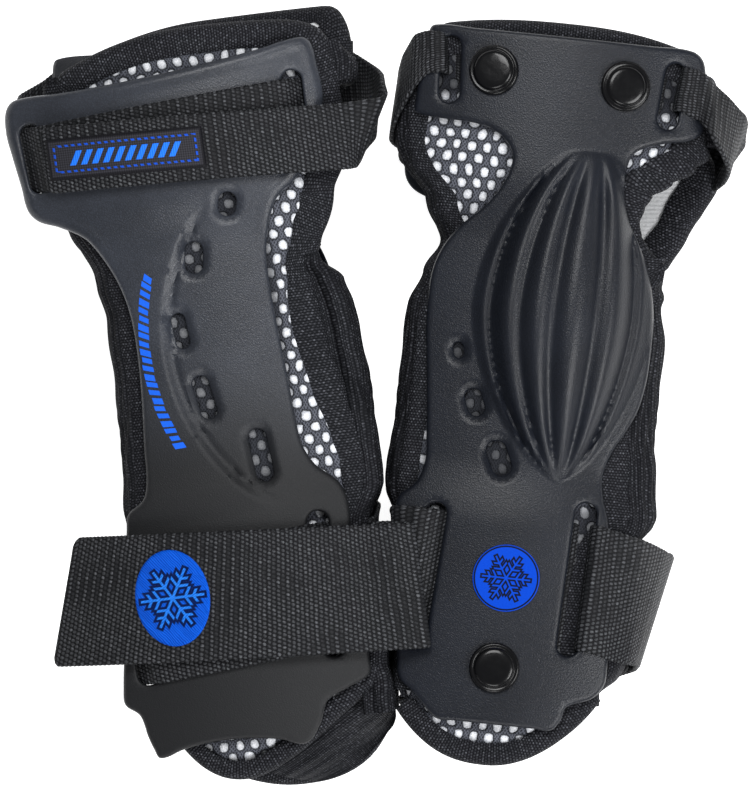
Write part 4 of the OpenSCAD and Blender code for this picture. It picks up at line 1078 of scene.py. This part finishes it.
# ---------------------------------------------------------------- seam tapes and the thumb hole
# The same tape lies along the layers' long edges beside the knit, and rings the thumb hole:
# up the dorsal layer's edge, across the bridge, down the palm layer's edge and across the
# top of the thumb-side knit.
for side in SIDES:
    y = np.linspace(GUSSET_TOP - 2, GUSSET_LOW[side] + 2, 160)
    for name, palm, sign in (("dorsal_thumb_seam", False, 1), ("palm_thumb_seam", True, 1),
                             ("dorsal_finger_seam", False, -1), ("palm_finger_seam", True, -1)):
        yy = y[y < THUMB_LOW[side] + 2] if sign > 0 else y
        if sign > 0 and not palm:
            x = follow(BAND_OUT, yy) - TAPE_REACH
            wide = x - follow(BAND_IN, yy)
        else:
            x, wide = (edge_x(yy) - 5.2, 7.2) if sign > 0 else (edge_x(yy) - 0.6, 4.4)
        line, normal = face_frame(palm, sign * x, yy)
        inward = np.stack([-sign * np.ones_like(yy), 0 * yy, 0 * yy], -1)
        inward -= normal * (inward * normal).sum(-1, keepdims=True) / (normal ** 2).sum(-1, keepdims=True)
        tape(name, side, line, inward, normal, width=wide, lower_width=2.0, height=0.9,
             flat=follow(STRAP_ZONE, yy))
    for name, palm in (("thumb_hole_dorsal_edge", False), ("thumb_hole_palm_edge", True)):
        start = end_y(side, palm, "finger", 1.0) - 2 if palm else THUMB_TOP[side] + 3
        y = np.linspace(start, THUMB_LOW[side] - 3, 80)
        x = (thumb_x(side, y) if palm else edge_x(y)) - 2.5
        line, normal = face_frame(palm, x, y)
        run = np.gradient(line, axis=0)
        inward = np.cross(normal, run)
        inward *= -np.sign(inward[:, :1])
        wide = 5.5 if palm else np.maximum(x - follow(BAND_IN, y), 5)
        tape(name, side, line, inward, normal, width=wide, lower_width=5.6, height=0.9,
             stands_for=["thumb_hole_binding"] if palm else [])
    for name, at_y, way in (("thumb_hole_low_edge", THUMB_LOW[side], -1),
                            ("thumb_hole_top_edge", THUMB_TOP[side], 1)):
        turn = np.linspace(1.9, -1.9, 60)
        x0 = edge_x(np.array(at_y)) + SEAM_GAP
        high, low = back_z(x0, at_y), palm_z(x0, at_y)
        swell = -0.6 if way < 0 else GUSSET_SWELL + 1.9
        line = np.stack([x0 - 3.2 + swell * np.cos(turn * 0.95), at_y + 0 * turn,
                         (high + low) / 2
                         + ((high - low) / 2 - 2.4) * np.sin(np.clip(turn, -1.57, 1.57))], -1)
        normal = np.stack([np.cos(turn), 0 * turn, np.sin(turn)], -1)
        inward = np.stack([0 * turn, way + 0 * turn, 0 * turn], -1)
        tape(name, side, line, inward, normal, width=7, lower_width=6, half=0.9,
             height=0.6 if way < 0 else 0.8)

# ---------------------------------------------------------------- webbing
# Polypropylene webbing 1.5 mm thick. Each strap is one length: it starts at the hook tape
# on its free end, folds back on itself at the thumb side, runs under the palm plate through
# its slots, up the other side and out through the dorsal plate's slots to be sewn down.
FOREARM_WEB, HAND_WEB, WEB_T, WEB_GAP, HOOK_T = 38.0, 20.0, 1.5, 0.3, 0.8
UNDER = WEB_GAP + WEB_T / 2
OVER = WEB_ROOM + PLATE_T + WEB_GAP + WEB_T / 2
HOOK_MID = OVER + WEB_T / 2 + WEB_GAP + HOOK_T / 2
FLAP_MID = HOOK_MID + HOOK_T / 2 + 0.2 + WEB_T / 2
SLOT_HALF = 3.2
BESIDE = WEB_GAP + WEB_T / 2
LOOSE = BESIDE + 0.3
STRAP_STEP, RIB_STEP = 0.45, 2.75
# Where each flap ends, where the left wide one turns down, and the flaps' lines across the
# sleeve, y = start - slope x
FLAP_END, HAND_FLAP_END, TURN_X = {"left": -59.4, "right": -36.5}, -47.0, 46.3
FLAP_LINE = {"forearm": (-60.6, 0.086), "hand": (73.2, 0.0555)}


def flap_y(closure, x):
    start, slope = FLAP_LINE[closure]
    return start - slope * x


def stations(x0, x1, face, height, y0, y1, n, lean0=0.0, lean1=0.0):
    """Even stations between two places."""
    share = np.linspace(0, 1, n + 1)
    return [[mix(x0, x1, k), face, height, mix(y0, y1, k), mix(lean0, lean1, k)] for k in share]


def strap_line(path, across):
    """A strap's middle face from stations [x, face, height, y, lean, tilt]. Face 1 is height
    out of the sleeve's back, -1 out of its palm side, 0 a plain height, and 2 and -2 are
    distances out of the thumb's and the little finger's side. A lean turns the strap in its
    own face and a tilt raises its finger-side edge, both in degrees. Resampled evenly and
    smoothed by a bell curve one millimetre wide, since webbing can't turn sharply."""
    rows = []
    for x, face, height, y, *turned in path:
        lean, tilt = (math.radians(t) for t in (*turned, 0, 0)[:2])
        yy = y + across * math.cos(tilt)
        xx = x - across * math.tan(lean)
        room = lift(yy) - WEB_ROOM
        if face == 1:
            row = [xx, yy, back_z(xx, yy) + height + room]
        elif face == -1:
            row = [xx, yy, palm_z(xx, yy) - height - room]
        elif face == 0:
            row = [xx, yy, height + across * math.sin(tilt)]
        else:
            row = [math.copysign(1, face) * (side_x(yy) + xx), yy, height + across * math.sin(tilt)]
        rows.append(np.stack(row, -1))
    rows = np.array(rows)
    run = run_along(rows.mean(1))
    even = np.linspace(0, run[-1], int(run[-1] / STRAP_STEP))
    fine = np.array([[np.interp(even, run, rows[:, j, k]) for k in range(3)] for j in range(len(across))])
    fine = fine.transpose(2, 0, 1)
    reach = np.arange(-8, 9)
    bell = np.exp(-(reach * STRAP_STEP) ** 2 / 2)
    bell /= bell.sum()
    padded_rows = np.concatenate([2 * fine[:1] - fine[8:0:-1], fine, 2 * fine[-1:] - fine[-2:-10:-1]])
    return sum(b * padded_rows[k:k + len(fine)] for k, b in enumerate(bell))


def webbing_piece(name, side, line, width, run):
    """Rows of a strap's middle face made into webbing: flat faces and half-round selvedges
    that are scalloped by the weft."""
    along = np.gradient(line, axis=0)
    across = np.gradient(line, axis=1)
    normal, outwards = unit(np.cross(across, along)), unit(across)
    half = WEB_T / 2
    turn = np.linspace(0, math.pi, 7)[1:-1]
    scallop = 0.10 * np.cos(2 * math.pi * run / (RIB_STEP / 2))[:, None]

    def selvedge(at, way):
        return np.stack([line[:, at] + way * outwards[:, at] * (half * np.sin(a) + scallop)
                         + way * normal[:, at] * half * np.cos(a) for a in turn], 1)

    ring = np.concatenate([line + normal * half, selvedge(-1, 1), (line - normal * half)[:, ::-1],
                           selvedge(0, -1)], 1)
    v = np.linspace(-width / 2, width / 2, line.shape[1])
    edge = v[-1] + 0.3 * np.arange(1, len(turn) + 1)
    v_ring = np.concatenate([v, edge, v[::-1], -edge])
    rings, around = ring.shape[:2]
    cloth = np.stack([np.repeat(run, around), np.tile(v_ring, rings)], -1)
    return new_piece(name, side, ring, tube_faces(rings, around), web_finish, cloth, sharp=60)


def round_corners(line, radius):
    """Draws a strap's first rows in at both edges, so the corners of its free end are round."""
    middle = line.mean(1, keepdims=True)
    half = np.abs(line[:, :1, 1] - line[:, -1:, 1])[..., None] / 2
    for row in range(int(radius / STRAP_STEP)):
        reach = radius - math.sqrt(max(radius ** 2 - (radius - row * STRAP_STEP) ** 2, 0))
        line[row] = middle[row] + (line[row] - middle[row]) * (1 - reach / half[row])


def web_weave():
    """Columns of short bright stitches across the strap: one set every RIB_STEP, a second
    halfway between with its stitches half a step along, and slow noise that decides how
    far the second set stands out."""
    made = Finish("webbing")
    along, across = made.cloth()
    at = made.joined(along, across)
    sway = made.noise(at, 0.11, 2.0) - 0.5
    small = made.noise(at, 0.9, 2.0) - 0.5
    along = along + sway * 0.9 + small * 0.35
    across = across + small * 0.4

    def column(shift, phase):
        off = ((along + shift).wrapped(RIB_STEP) - RIB_STEP / 2) / 0.62
        lengthways = (((across + off * 0.18) / 1.3 + phase).wrapped(1.0) - 0.5) * 2.3
        return (1 - (off * off + lengthways * lengthways)).high(0.0), (1 - off * off * 0.28).high(0.0)

    first, rib = column(0.0, 0.0)
    second, _ = column(RIB_STEP / 2, 0.5)
    share = made.noise(at, 0.045, 2.0).ramp(0.38, 0.60)
    stitch = first.power(0.6).high(second.power(0.6) * (0.25 + share * 0.75))
    fuzz = made.noise(at, 2.4, 4.0, 0.65)
    # Bright flecks by noise in the colour are painted glints on the fibres
    painted_glint = made.noise(at, 0.75, 2.0, 0.5).ramp(0.45, 0.72)
    height = stitch * 0.7 + rib * 0.2 + fuzz * 0.22
    colour = made.blend(stitch * (0.35 + painted_glint * 0.65) * (0.6 + fuzz * 0.7), (0.0040, 0.0043, 0.0054),
                        (0.105, 0.110, 0.120))
    return made.shade(Base_Color=colour, Roughness=0.66 - stitch * 0.18,
                      Normal=made.relief(height, 0.42), Specular_IOR_Level=0.15)


web_finish = web_weave()


def dorsal_slot(side, slot):
    return on_sleeve(side, np.array(slot[:2]))


def forearm_path(side):
    """Down from the fold, out and in through the palm plate, up the little finger's side,
    under and over the dorsal plate."""
    right_slot, left_slot = PALM_FOREARM_SLOTS[1], PALM_FOREARM_SLOTS[0]
    low, flat, beyond = -55.6, PALM_FOREARM, float(side_x(-57))
    dl, dr = (dorsal_slot(side, s)[0] for s in FOREARM_SLOTS)
    tl, tr = (s[2] - 6 + PLATE_TWIST for s in FOREARM_SLOTS)
    far = max(-dl + 4 - float(side_x(-60)), BESIDE)
    edge = on_sleeve(side, np.array([DORSAL_FOREARM - 3.3, -62.0]))[0]
    # A blunt U at the thumb side, where the left strap turns back on itself and the right one
    # stands out in a loop
    path = [[46.9, 0, 22.9, -64.4], [47.1, 0, 22.1, -64.4], [46.6, 0, 21.4, -64.4],
            [44.4, 0, 21.1, -64.4], [41, 0, 20.8, -63.4], [max(36.6, edge + 2.2), 0, 20.4, -63],
            [max(34, edge + 1.6), 0, 18.8, -62.6], [max(float(side_x(-60)) + BESIDE, edge + 1.6), 0, 15, -62],
            [LOOSE, 2, 8, -61.3], [LOOSE, 2, 0, -60], [max(LOOSE, flat + 3 - beyond), 2, -8, -58],
            [max(BESIDE - 1.4, flat + 1.5 - beyond), 2, -13, -57], [flat - 0.1, -1, OVER - 1, -56.2]]
    if side == "right":
        path = [[44.3, 0, 21.8, -61.8, -11, 14], [44.5, 0, 20.6, -61.7, -11.5, 16],
                [44.5, 0, 18.8, -61.6, -11.7, 18], [44.5, 0, 13, -61.4, -11.7, 22],
                [44.4, 0, 5, -61.2, -11.7, 26], [43.6, 0, -3, -60.7, -11.7, 26],
                [41.6, 0, -10, -59.8, -10, 22], [38.4, 0, -15.6, -58.8, -7, 16], [35.2, 0, -19, -58, -4, 8],
                [flat - 0.1, -1, OVER - 0.3, -57.4, -2]]
    # Pulled tight, it bears on the slot's outer edge and leaves the inner half of the slot open
    beside_edge = right_slot[0] + (SLOT_HALF if side == "right" else 1)
    left_lean, right_lean = left_slot[2], right_slot[2]
    path += stations(flat - 2.5, beside_edge + 1.2, -1, OVER, low - 1, low, 2, 0, right_lean)
    path += [[beside_edge - back, -1, height, low, right_lean]
             for back, height in ((0.2, OVER - 1.2), (0.7, 0.4), (0.9, -1.4), (4.5, -1.2))]
    path += stations(beside_edge - 8, left_slot[0] + SLOT_HALF, -1, UNDER, low, low, 6, right_lean, left_lean)
    path += stations(left_slot[0] - SLOT_HALF, -flat - 2.9, -1, OVER, low, low, 2, left_lean, 6)
    path += [[-flat - 4.5, -1, OVER - 0.8, -56, 6], [max(BESIDE + 0.2, flat + 3 - beyond), -2, -13.5, -57],
             [max(BESIDE, flat + 3 - beyond), -2, -6, -58], [mix(BESIDE, far, 0.6), -2, 2, -59],
             [far, -2, 7, -60]]
    if side == "right":
        path += [[BESIDE - 0.5, -2, 11.4, -60.2]]
    low_left = -64.2 if side == "left" else -60.4
    path += [[dl - SLOT_HALF, 1, UNDER, low_left, tl]]
    path += stations(dl + SLOT_HALF, dr - SLOT_HALF, 1, OVER, low_left, -61, 10, tl, tr)
    return path + [[dr + SLOT_HALF, 1, UNDER, -61, tr], [dr + SLOT_HALF + 3, 1, UNDER, -61]]


def forearm_flap(side):
    """From the free end back to the fold, over the strap below it."""
    y = functools.partial(flap_y, "forearm")
    # The left flap's free end is cut on a slant, and the weave leans to it
    lean = (-17.8 if side == "left" else 0) / (TURN_X - FLAP_END[side])
    rows = [[x, 1, FLAP_MID, y(x), lean * (TURN_X - x)] for x in np.linspace(FLAP_END[side], 31, 15)]
    if side == "right":
        return rows + [[37, 0, 24, y(37), -2], [41.5, 0, 23.7, -62.4, -7, 6], [43.6, 0, 23, -62, -10, 12]]
    return rows + [[40, 0, 24, y(40)], [44.5, 0, 23.5, y(46)], [TURN_X, 0, 23.3, y(46)]]


def hand_path(side):
    """The same course at the hand end, narrower."""
    right_slot, left_slot = PALM_HAND_SLOTS[1], PALM_HAND_SLOTS[0]
    dl, dr = (dorsal_slot(side, s) for s in HAND_SLOTS)
    tl, tr = (s[2] + PLATE_TWIST for s in HAND_SLOTS)
    half = SLOT_HALF - 0.3
    far = max(-dl[0] + 4 - float(side_x(80)), BESIDE + 0.8)
    path = [[51.4, 0, 13.4, 72.6, -30], [52.0, 0, 9, 75.6, -25], [53.8, 0, 2, 79, -15, 6],
            [53.6, 0, -5, 81, -10, 14]]
    if side == "right":
        # Bunched in both palm slots and bearing on their outer edges, so it comes out narrow
        path += [[52.2, 0, -10, 83.0, -6, 26], [49, 0, -14.4, 86.4, -3, 30], [45, 0, -17.4, 90.2, 0, 38],
                 [41.6, -1, OVER + 0.4, 93.8, 0, 45], [37.4, -1, OVER, 95.0, -2, 48],
                 [35.4, -1, OVER, 95.6, -3, 50], [34.7, -1, OVER - 1.2, 95.6, -4, 50],
                 [34.3, -1, 0.4, 95.6, -4, 50], [34.1, -1, -1.4, 95.6, -4, 48],
                 [30.5, -1, -1.2, 95.4, -4, 42], [24, -1, UNDER, 94.4], [0, -1, UNDER, 94.4],
                 [-27, -1, UNDER, 96.4], [-33.5, -1, -1.2, 98.6, 4, 50], [-36.0, -1, -1.0, 98.8, 4, 54],
                 [-36.3, -1, 1.4, 99, 4, 55], [-36.9, -1, OVER - 1, 99.1, 4, 55],
                 [-38, -1, OVER, 99.2, 4, 55], [-41.8, -1, OVER, 98.8, 4, 52],
                 [-45.2, -1, OVER - 0.4, 95.8, 3, 36]]
    else:
        (right_x, right_y, right_lean), (left_x, left_y, left_lean) = right_slot, left_slot
        path += [[52.2, 0, -10, 83.5, -6, 22], [49, 0, -14.4, 87, -4, 26], [45, 0, -17, 90, -2, 20],
                 [41.8, -1, OVER + 0.5, 92.6]]
        path += stations(40.0, right_x + half, -1, OVER, right_y, right_y, 1, 0, right_lean)
        path += stations(right_x - half, left_x + half, -1, UNDER, right_y, left_y, 7, right_lean, left_lean)
        path += stations(left_x - half, -42, -1, OVER, left_y, left_y - 0.6, 1, left_lean, 0)
        path += [[-45.4, -1, OVER - 0.4, 91.5]]
    path += [[far - 0.6, -2, -8.5, 88], [far, -2, -1, 84], [far, -2, 5, 81.5]]
    if side == "right":
        path += [[BESIDE - 0.5, -2, 9.8, 80.5]]
    path += [[dl[0] - half, 1, UNDER, dl[1] - 0.3, tl]]
    path += stations(dl[0] + half, dr[0] - half, 1, OVER, dl[1] - 0.5, dr[1], 10, tl, tr)
    return path + [[dr[0] + half, 1, UNDER, dr[1], tr], [dr[0] + half + 2.5, 1, UNDER, dr[1]]]


def hand_flap(side):
    """The same flap at the hand end, alike on both guards."""
    rows = [[x, 1, FLAP_MID, flap_y("hand", x)] for x in np.linspace(HAND_FLAP_END, 43, 15)]
    return rows + [[46.0, 0, 17.6, 71.0, -12], [48.9, 0, 16.2, 71.0, -24], [50.4, 0, 14.8, 71.4, -30]]


# The fold is this many rows, 4 mm, either side of the one nearest the hinge
FOLD_ROWS = 9
# Name, width, flap, strap, where it folds as x and z, the body that moves
STRAPS = (("forearm_strap", FOREARM_WEB, forearm_flap, forearm_path, (47, 22), "forearm_closure"),
          ("hand_strap", HAND_WEB, hand_flap, hand_path, (54.2, 14), "hand_closure"))
for side in SIDES:
    for name, width, flap, path, hinge, body in STRAPS:
        across = np.linspace(-1, 1, 15) * (width / 2 - WEB_T / 2 - 0.1)
        line = strap_line(flap(side) + path(side), across)
        round_corners(line, 2.2)
        middle = line.mean(1)
        run = run_along(middle)
        near = int(np.argmin(np.hypot(middle[:, 0] - hinge[0], middle[:, 2] - hinge[1])))
        first, last = near - FOLD_ROWS, near + FOLD_ROWS
        parts = ((f"{name}_flap", 0, first + 1, f"{name}_flap"), (f"{name}_fold", first, last + 1, None),
                 (name, last, len(line), name))
        for part, start, end, node in parts:
            piece = webbing_piece(f"{part}_web", side, line[start:end], width, run[start:end])
            if part.endswith("fold"):
                ends = [placed(side, middle[k]).tolist() for k in (last, first)]
                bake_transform(piece)
            else:
                worn(piece, side, body if part.endswith("flap") else "guard", "webbing", node)

# ---------------------------------------------------------------- hook tape
# Stiff black hook tape sewn inside both free ends, seen when a closure is open.
hook_finish = Finish("hook_tape")
nub = hook_finish.place()
pile = hook_finish.node("ShaderNodeTexVoronoi", None, Vector=nub, Scale=1.1).ramp(0.55, 0.1)
hook_finish.shade(Base_Color=hook_finish.blend(pile, (0.004, 0.004, 0.005), (0.045, 0.046, 0.05)),
                  Roughness=0.7, Normal=hook_finish.relief(pile, 0.6))

# ---------------------------------------------------------------- rivets
# Each palm plate is held by three snap-cap rivets: a glossy black cap with a low dome, a
# groove and a turned-down rim over a steel post and washer.
# [distance from the centre, height over the plate] down the cap's section
CAP_SECTION = [[0, 2.3], [1.5, 2.29], [3, 2.25], [4.3, 2.18], [5.1, 2.06], [5.5, 1.85], [5.8, 1.5],
               [6.0, 1.2], [6.2, 1.05], [6.4, 1.1], [6.65, 1.22], [6.95, 1.2], [7.2, 1.02],
               [7.42, 0.7], [7.5, 0.3], [7.4, 0.0], [6.8, -0.12], [0, -0.12]]
cap_finish = Finish("cap_enamel")
smudge = cap_finish.noise(cap_finish.place(), 0.5, 3.0)
uneven = cap_finish.noise(cap_finish.place(), 0.35, 1.0)
cap_finish.shade(Base_Color=(0.0025, 0.0026, 0.0032), Roughness=0.20 + smudge * 0.10, Coat_Weight=0.15,
                 Coat_Roughness=0.05, Specular_IOR_Level=0.18, Normal=cap_finish.relief(uneven, 0.10))
steel_finish = Finish("rivet_steel")
brushed = steel_finish.noise(steel_finish.place(), 3.0, 2.0)
steel_finish.shade(Base_Color=(0.56, 0.56, 0.58), Metallic=1.0, Roughness=0.3 + brushed * 0.15)


def on_palm(x, y, local, depth):
    """Points given square to the palm plate's seat at x, y, with height outwards."""
    slope_x, slope_y = x / CROSS_R, -2 * END_FLARE * (y - 30) / 110 ** 2
    normal = unit(np.array([slope_x, slope_y, -1.0]))
    across = unit(np.cross([0, 1, 0], normal))
    up = np.cross(normal, across)
    base = np.array([x, y, palm_z(x, y) - lift(y)]) + normal * depth
    return base + local[..., :1] * across + local[..., 1:2] * up + local[..., 2:] * normal


for side in SIDES:
    section = np.array(CAP_SECTION)
    turn = np.linspace(0, 2 * math.pi, 72, endpoint=False)
    local = np.stack([section[:, None, 0] * np.cos(turn), section[:, None, 0] * np.sin(turn),
                      section[:, None, 1] + 0 * turn], -1)
    rings = [on_palm(x, y, local, PLATE_T + 0.35).reshape(-1, 3) for x, y in RIVETS]
    faces, count = [], len(section) * len(turn)
    for k in range(len(RIVETS)):
        faces += [part + k * count for part in tube_faces(len(section), len(turn))[:1]]
    piece = new_piece("rivet_caps_turned", side, np.concatenate(rings), faces, cap_finish, sharp=70)
    worn(piece, side, "guard", "cap_enamel", "rivet_caps")

# ---------------------------------------------------------------- badges and label
# A plain six-armed snow crystal stands on a blue disc on each side: sewn in satin stitch on
# the free end of the wide strap, and printed on the palm plate. A small woven label with a
# stitched border and slanted bars is sewn on the free end of the hand strap.
BADGE_HALF_X, BADGE_HALF_Y, BADGE_X, BADGE_T = 11.2, 14.4, -26.8, 0.6
DISC_D, DISC_AT = 20.0, (-2.1, -55.1)


def crystal(made, x, y, size):
    """How far each point is from a six-armed snow crystal's lines: the plane is folded into
    one twelfth, where an arm is the line y = 0 and two twigs leave it at sixty degrees."""
    radius = (x * x + y * y).power(0.5)
    angle = made.node("ShaderNodeMath", {"operation": "ARCTAN2"}, y, x)
    fold = ((angle + math.pi).wrapped(math.pi / 3) - math.pi / 6).abs()
    fold = math.pi / 6 - fold
    along, away = radius * fold.cos(), radius * fold.sin()
    arm = away.high(along - size)

    def twig(start, reach):
        side = ((along - start) * 0.866 - away * 0.5).abs()
        return side.high(away - reach)

    return arm.low(twig(size * 0.42, size * 0.26)).low(twig(size * 0.68, size * 0.17))


def blue_stitch(name):
    """Satin stitch: threads laid side by side on a slant, each a little brighter or duller."""
    made = Finish(name)
    x, y = made.cloth()
    at = made.joined(x, y)
    wave = made.noise(at, 0.25, 2.0) - 0.5
    away = crystal(made, x, y, 9.2) - 0.75
    arm = away.ramp(0.1, -0.1)
    line = (away.abs() - 0.05).ramp(0.42, 0.22)
    slant = x * 0.80 + y * 0.60 + wave * 1.2
    cross = x * 0.55 - y * 0.83 + wave * 1.2
    pick = made.blend(arm, made.joined(slant, 0.0, 0.0), made.joined(cross, 0.0, 0.0))
    run = made.parts(pick)[0]
    thread = (run * (2 * math.pi / 0.62)).cos() * 0.5 + 0.5
    shade = made.noise(made.joined((run / 0.62).floor() * 7.3, slant * 0.12 + cross * 0.12), 1.0, 2.0)
    tone = (thread * 0.45 + shade * 0.75).ramp(0.15, 1.0)
    field = made.blend(tone, (0.001, 0.042, 0.35), (0.003, 0.112, 0.72))
    bright = made.blend(tone, (0.004, 0.115, 0.60), (0.026, 0.225, 0.84))
    colour = made.blend(line, made.blend(arm, field, bright), (0.002, 0.012, 0.085))
    return made.shade(Base_Color=colour, Roughness=0.5, Specular_IOR_Level=0.06,
                      Normal=made.relief(thread * 0.5 + shade * 0.2 + (1 - line) * 0.6, 0.28))


def domed_disc(half_x, half_y, thick, rim):
    """Local points of a disc: a flat face that rolls off within rim of its edge."""
    over = np.linspace(0, math.pi / 2, 6)[1:]
    share = np.concatenate([np.linspace(0, 1 - rim, 9), 1 - rim + rim * np.sin(over)])
    up = np.concatenate([np.full(9, thick), thick * np.cos(over) ** 0.7])
    share, up = np.append(share, [1.0, 0.5, 0.0]), np.append(up, [-0.25, -0.25, -0.25])
    turn = np.linspace(0, 2 * math.pi, 96, endpoint=False)
    return np.stack([half_x * share[:, None] * np.cos(turn), half_y * share[:, None] * np.sin(turn),
                     up[:, None] + 0 * turn], -1)


def disc(name, side, local, points, finish, body, slot, node):
    """A disc's points made into a piece; its own x and y are its map."""
    piece = new_piece(name, side, points, tube_faces(*points.shape[:2])[:1], finish, local[..., :2], sharp=70)
    worn(piece, side, body, slot, node)


badge_finish = blue_stitch("badge_stitch")
print_finish = Finish("badge_print")
px, py = print_finish.cloth()
away = crystal(print_finish, px, py, 7.0) - 0.5
ring = ((px * px + py * py).power(0.5) - 9.45).abs()
ink = (away.abs() - 0.04).ramp(0.30, 0.14).high((ring - 0.12).ramp(0.18, 0.06))
speck = print_finish.noise(print_finish.joined(px, py), 1.5, 3.0)
blue = print_finish.blend(speck, (0.0003, 0.042, 0.43), (0.0005, 0.056, 0.52))
print_finish.shade(Base_Color=print_finish.blend(ink, blue, (0.003, 0.005, 0.014)), Roughness=0.5,
                   Specular_IOR_Level=0.07, Normal=print_finish.relief(speck, 0.05))
for side in SIDES:
    local = domed_disc(BADGE_HALF_X, BADGE_HALF_Y, BADGE_T, 0.07)
    x = BADGE_X + local[..., 0]
    y = flap_y("forearm", BADGE_X) + local[..., 1]
    surface = back_z(x, y) + FLAP_MID + WEB_T / 2
    disc("forearm_badge", side, local, np.stack([x, y, surface + local[..., 2]], -1), badge_finish,
         "forearm_closure", "badge_embroidery", "forearm_strap_badge")
    local = domed_disc(DISC_D / 2, DISC_D / 2, 0.35, 0.05)
    disc("palm_disc_print", side, local, on_palm(*DISC_AT, local, PLATE_T + 0.05), print_finish,
         "guard", "blue_print", "palm_disc")

# Length, width, and how far in from the flap's free end it is sewn
LABEL_L, LABEL_W, LABEL_IN = 47.0, 12.4, 1.0
label_finish = Finish("woven_label")
lx, ly = label_finish.cloth()
edge = (lx.abs() - LABEL_L / 2).high(ly.abs() - LABEL_W / 2)
border = (edge + 2.35).abs()
place = ((lx + ly * 0.5) / 2.0).wrapped(1.0)
dash = place.ramp(0.62, 0.55) * place.ramp(0.0, 0.08)
dash_up = ((ly + lx * 0.3) / 2.0).wrapped(1.0).ramp(0.62, 0.55)
upright = (lx.abs() - (LABEL_L / 2 - 3.4)).ramp(-0.05, 0.05)
sewn = border.ramp(0.42, 0.22) * (dash * (1 - upright) + dash_up * upright)
lean = lx - ly * 0.55
bars = ((lean / 3.3).wrapped(1.0) - 0.5).abs().ramp(0.31, 0.24)
bars = bars * (lean.abs() - 16.4).ramp(0.1, -0.1) * (ly.abs() - 2.15).ramp(0.12, -0.12)
weft = (ly * 9.0).cos() * 0.5 + 0.5
warp = (lx * 9.0).cos() * 0.5 + 0.5
welt = (edge + 0.9).ramp(-0.3, 0.3)
cloth_tone = label_finish.blend((weft * 0.5 + warp * 0.5), (0.012, 0.012, 0.015), (0.034, 0.034, 0.042))
tone = label_finish.blend(welt, cloth_tone, (0.006, 0.006, 0.008))
tone = label_finish.blend(sewn, tone, (0.008, 0.070, 0.50))
tone = label_finish.blend(bars, tone, label_finish.blend(warp, (0.008, 0.130, 0.68), (0.022, 0.200, 0.92)))
raised = weft * 0.15 + warp * 0.15 + sewn * 0.6 + bars * 0.4 + welt * 0.5
label_finish.shade(Base_Color=tone, Roughness=0.6, Specular_IOR_Level=0.12,
                   Normal=label_finish.relief(raised, 0.3))
for side in SIDES:
    across = np.linspace(-LABEL_W / 2, LABEL_W / 2, 15)
    along = np.linspace(HAND_FLAP_END + LABEL_IN, HAND_FLAP_END + LABEL_IN + LABEL_L, 90)
    x = along[:, None] + 0 * across
    y = flap_y("hand", x) + across
    base = back_z(x, y) + FLAP_MID + WEB_T / 2 + lift(y) - WEB_ROOM
    border_x = np.minimum(x - along[0], along[-1] - x)
    border_y = LABEL_W / 2 - np.abs(across) + 0 * x
    rise = 0.62 * smooth(np.minimum(border_x, border_y) / 0.8 + 0.15) + 0.05
    upper = np.stack([x, y, base + rise], -1)
    lower = np.stack([x, y, base - 0.2], -1)
    cloth = np.stack([x - along.mean(), across + 0 * x], -1)
    piece = new_piece("hand_label", side, *closed_sheet(upper, lower), label_finish, cloth)
    worn(piece, side, "hand_closure", "label_cloth", "hand_strap_label")

# ---------------------------------------------------------------- printed bars
# A row of slanted bars is pad-printed along the land of each dorsal plate.
# Degrees round the land's centre, how many bars, and their inner and outer radius
STRIPE_ARC, BAR_COUNT, BAR_IN, BAR_OUT = (159.0, 204.4), 22, 66.9, 70.0
bar_finish = Finish("bar_print")
grit = bar_finish.noise(bar_finish.place(), 2.0, 3.0)
bar_finish.shade(Base_Color=bar_finish.blend(grit, (0.006, 0.090, 0.60), (0.014, 0.135, 0.78)), Roughness=0.4,
                  Specular_IOR_Level=0.2)
for side in SIDES:
    points, faces, start = [], [], 0
    step = (STRIPE_ARC[1] - STRIPE_ARC[0]) / BAR_COUNT
    for k in range(BAR_COUNT):
        # Thick and thin ones, a few of them shorter
        wide = 0.62 if k % 3 else 0.78
        low, high = BAR_IN + (0.0 if k % 4 else 0.25), BAR_OUT - (0.0 if k % 5 else 0.3)
        radius = np.linspace(high, low, 5)[:, None]
        begin = STRIPE_ARC[0] + step * k
        angle = np.radians(begin + step * wide * np.linspace(0, 1, 4)[None] + (radius - low) * -0.35)
        uv = LAND_AT + radius[..., None] * np.stack([np.cos(angle), np.sin(angle)], -1)
        at = on_sleeve(side, uv)
        z = back_z(at[..., 0], at[..., 1]) + lift(at[..., 1]) + PLATE_T + land(uv)
        grid = [np.concatenate([at, (z + up)[..., None]], -1) for up in (0.10, -0.15)]
        more, parts = closed_sheet(*grid)
        points.append(more)
        faces += [part + start for part in parts]
        start += len(more)
    piece = new_piece("dorsal_bars", side, np.concatenate(points), faces, bar_finish)
    worn(piece, side, "guard", "blue_print", "dorsal_stripe")

# ---------------------------------------------------------------- what stays as it was built
for side in SIDES:
    for node, finish in (("forearm_strap_hook", hook_finish), ("hand_strap_hook", hook_finish),
                         ("rivet_posts", steel_finish), ("rivet_washers", steel_finish)):
        solid = bpy.data.objects[f"{side}_{node}"]
        solid.data.materials.clear()
        solid.data.materials.append(finish.material)
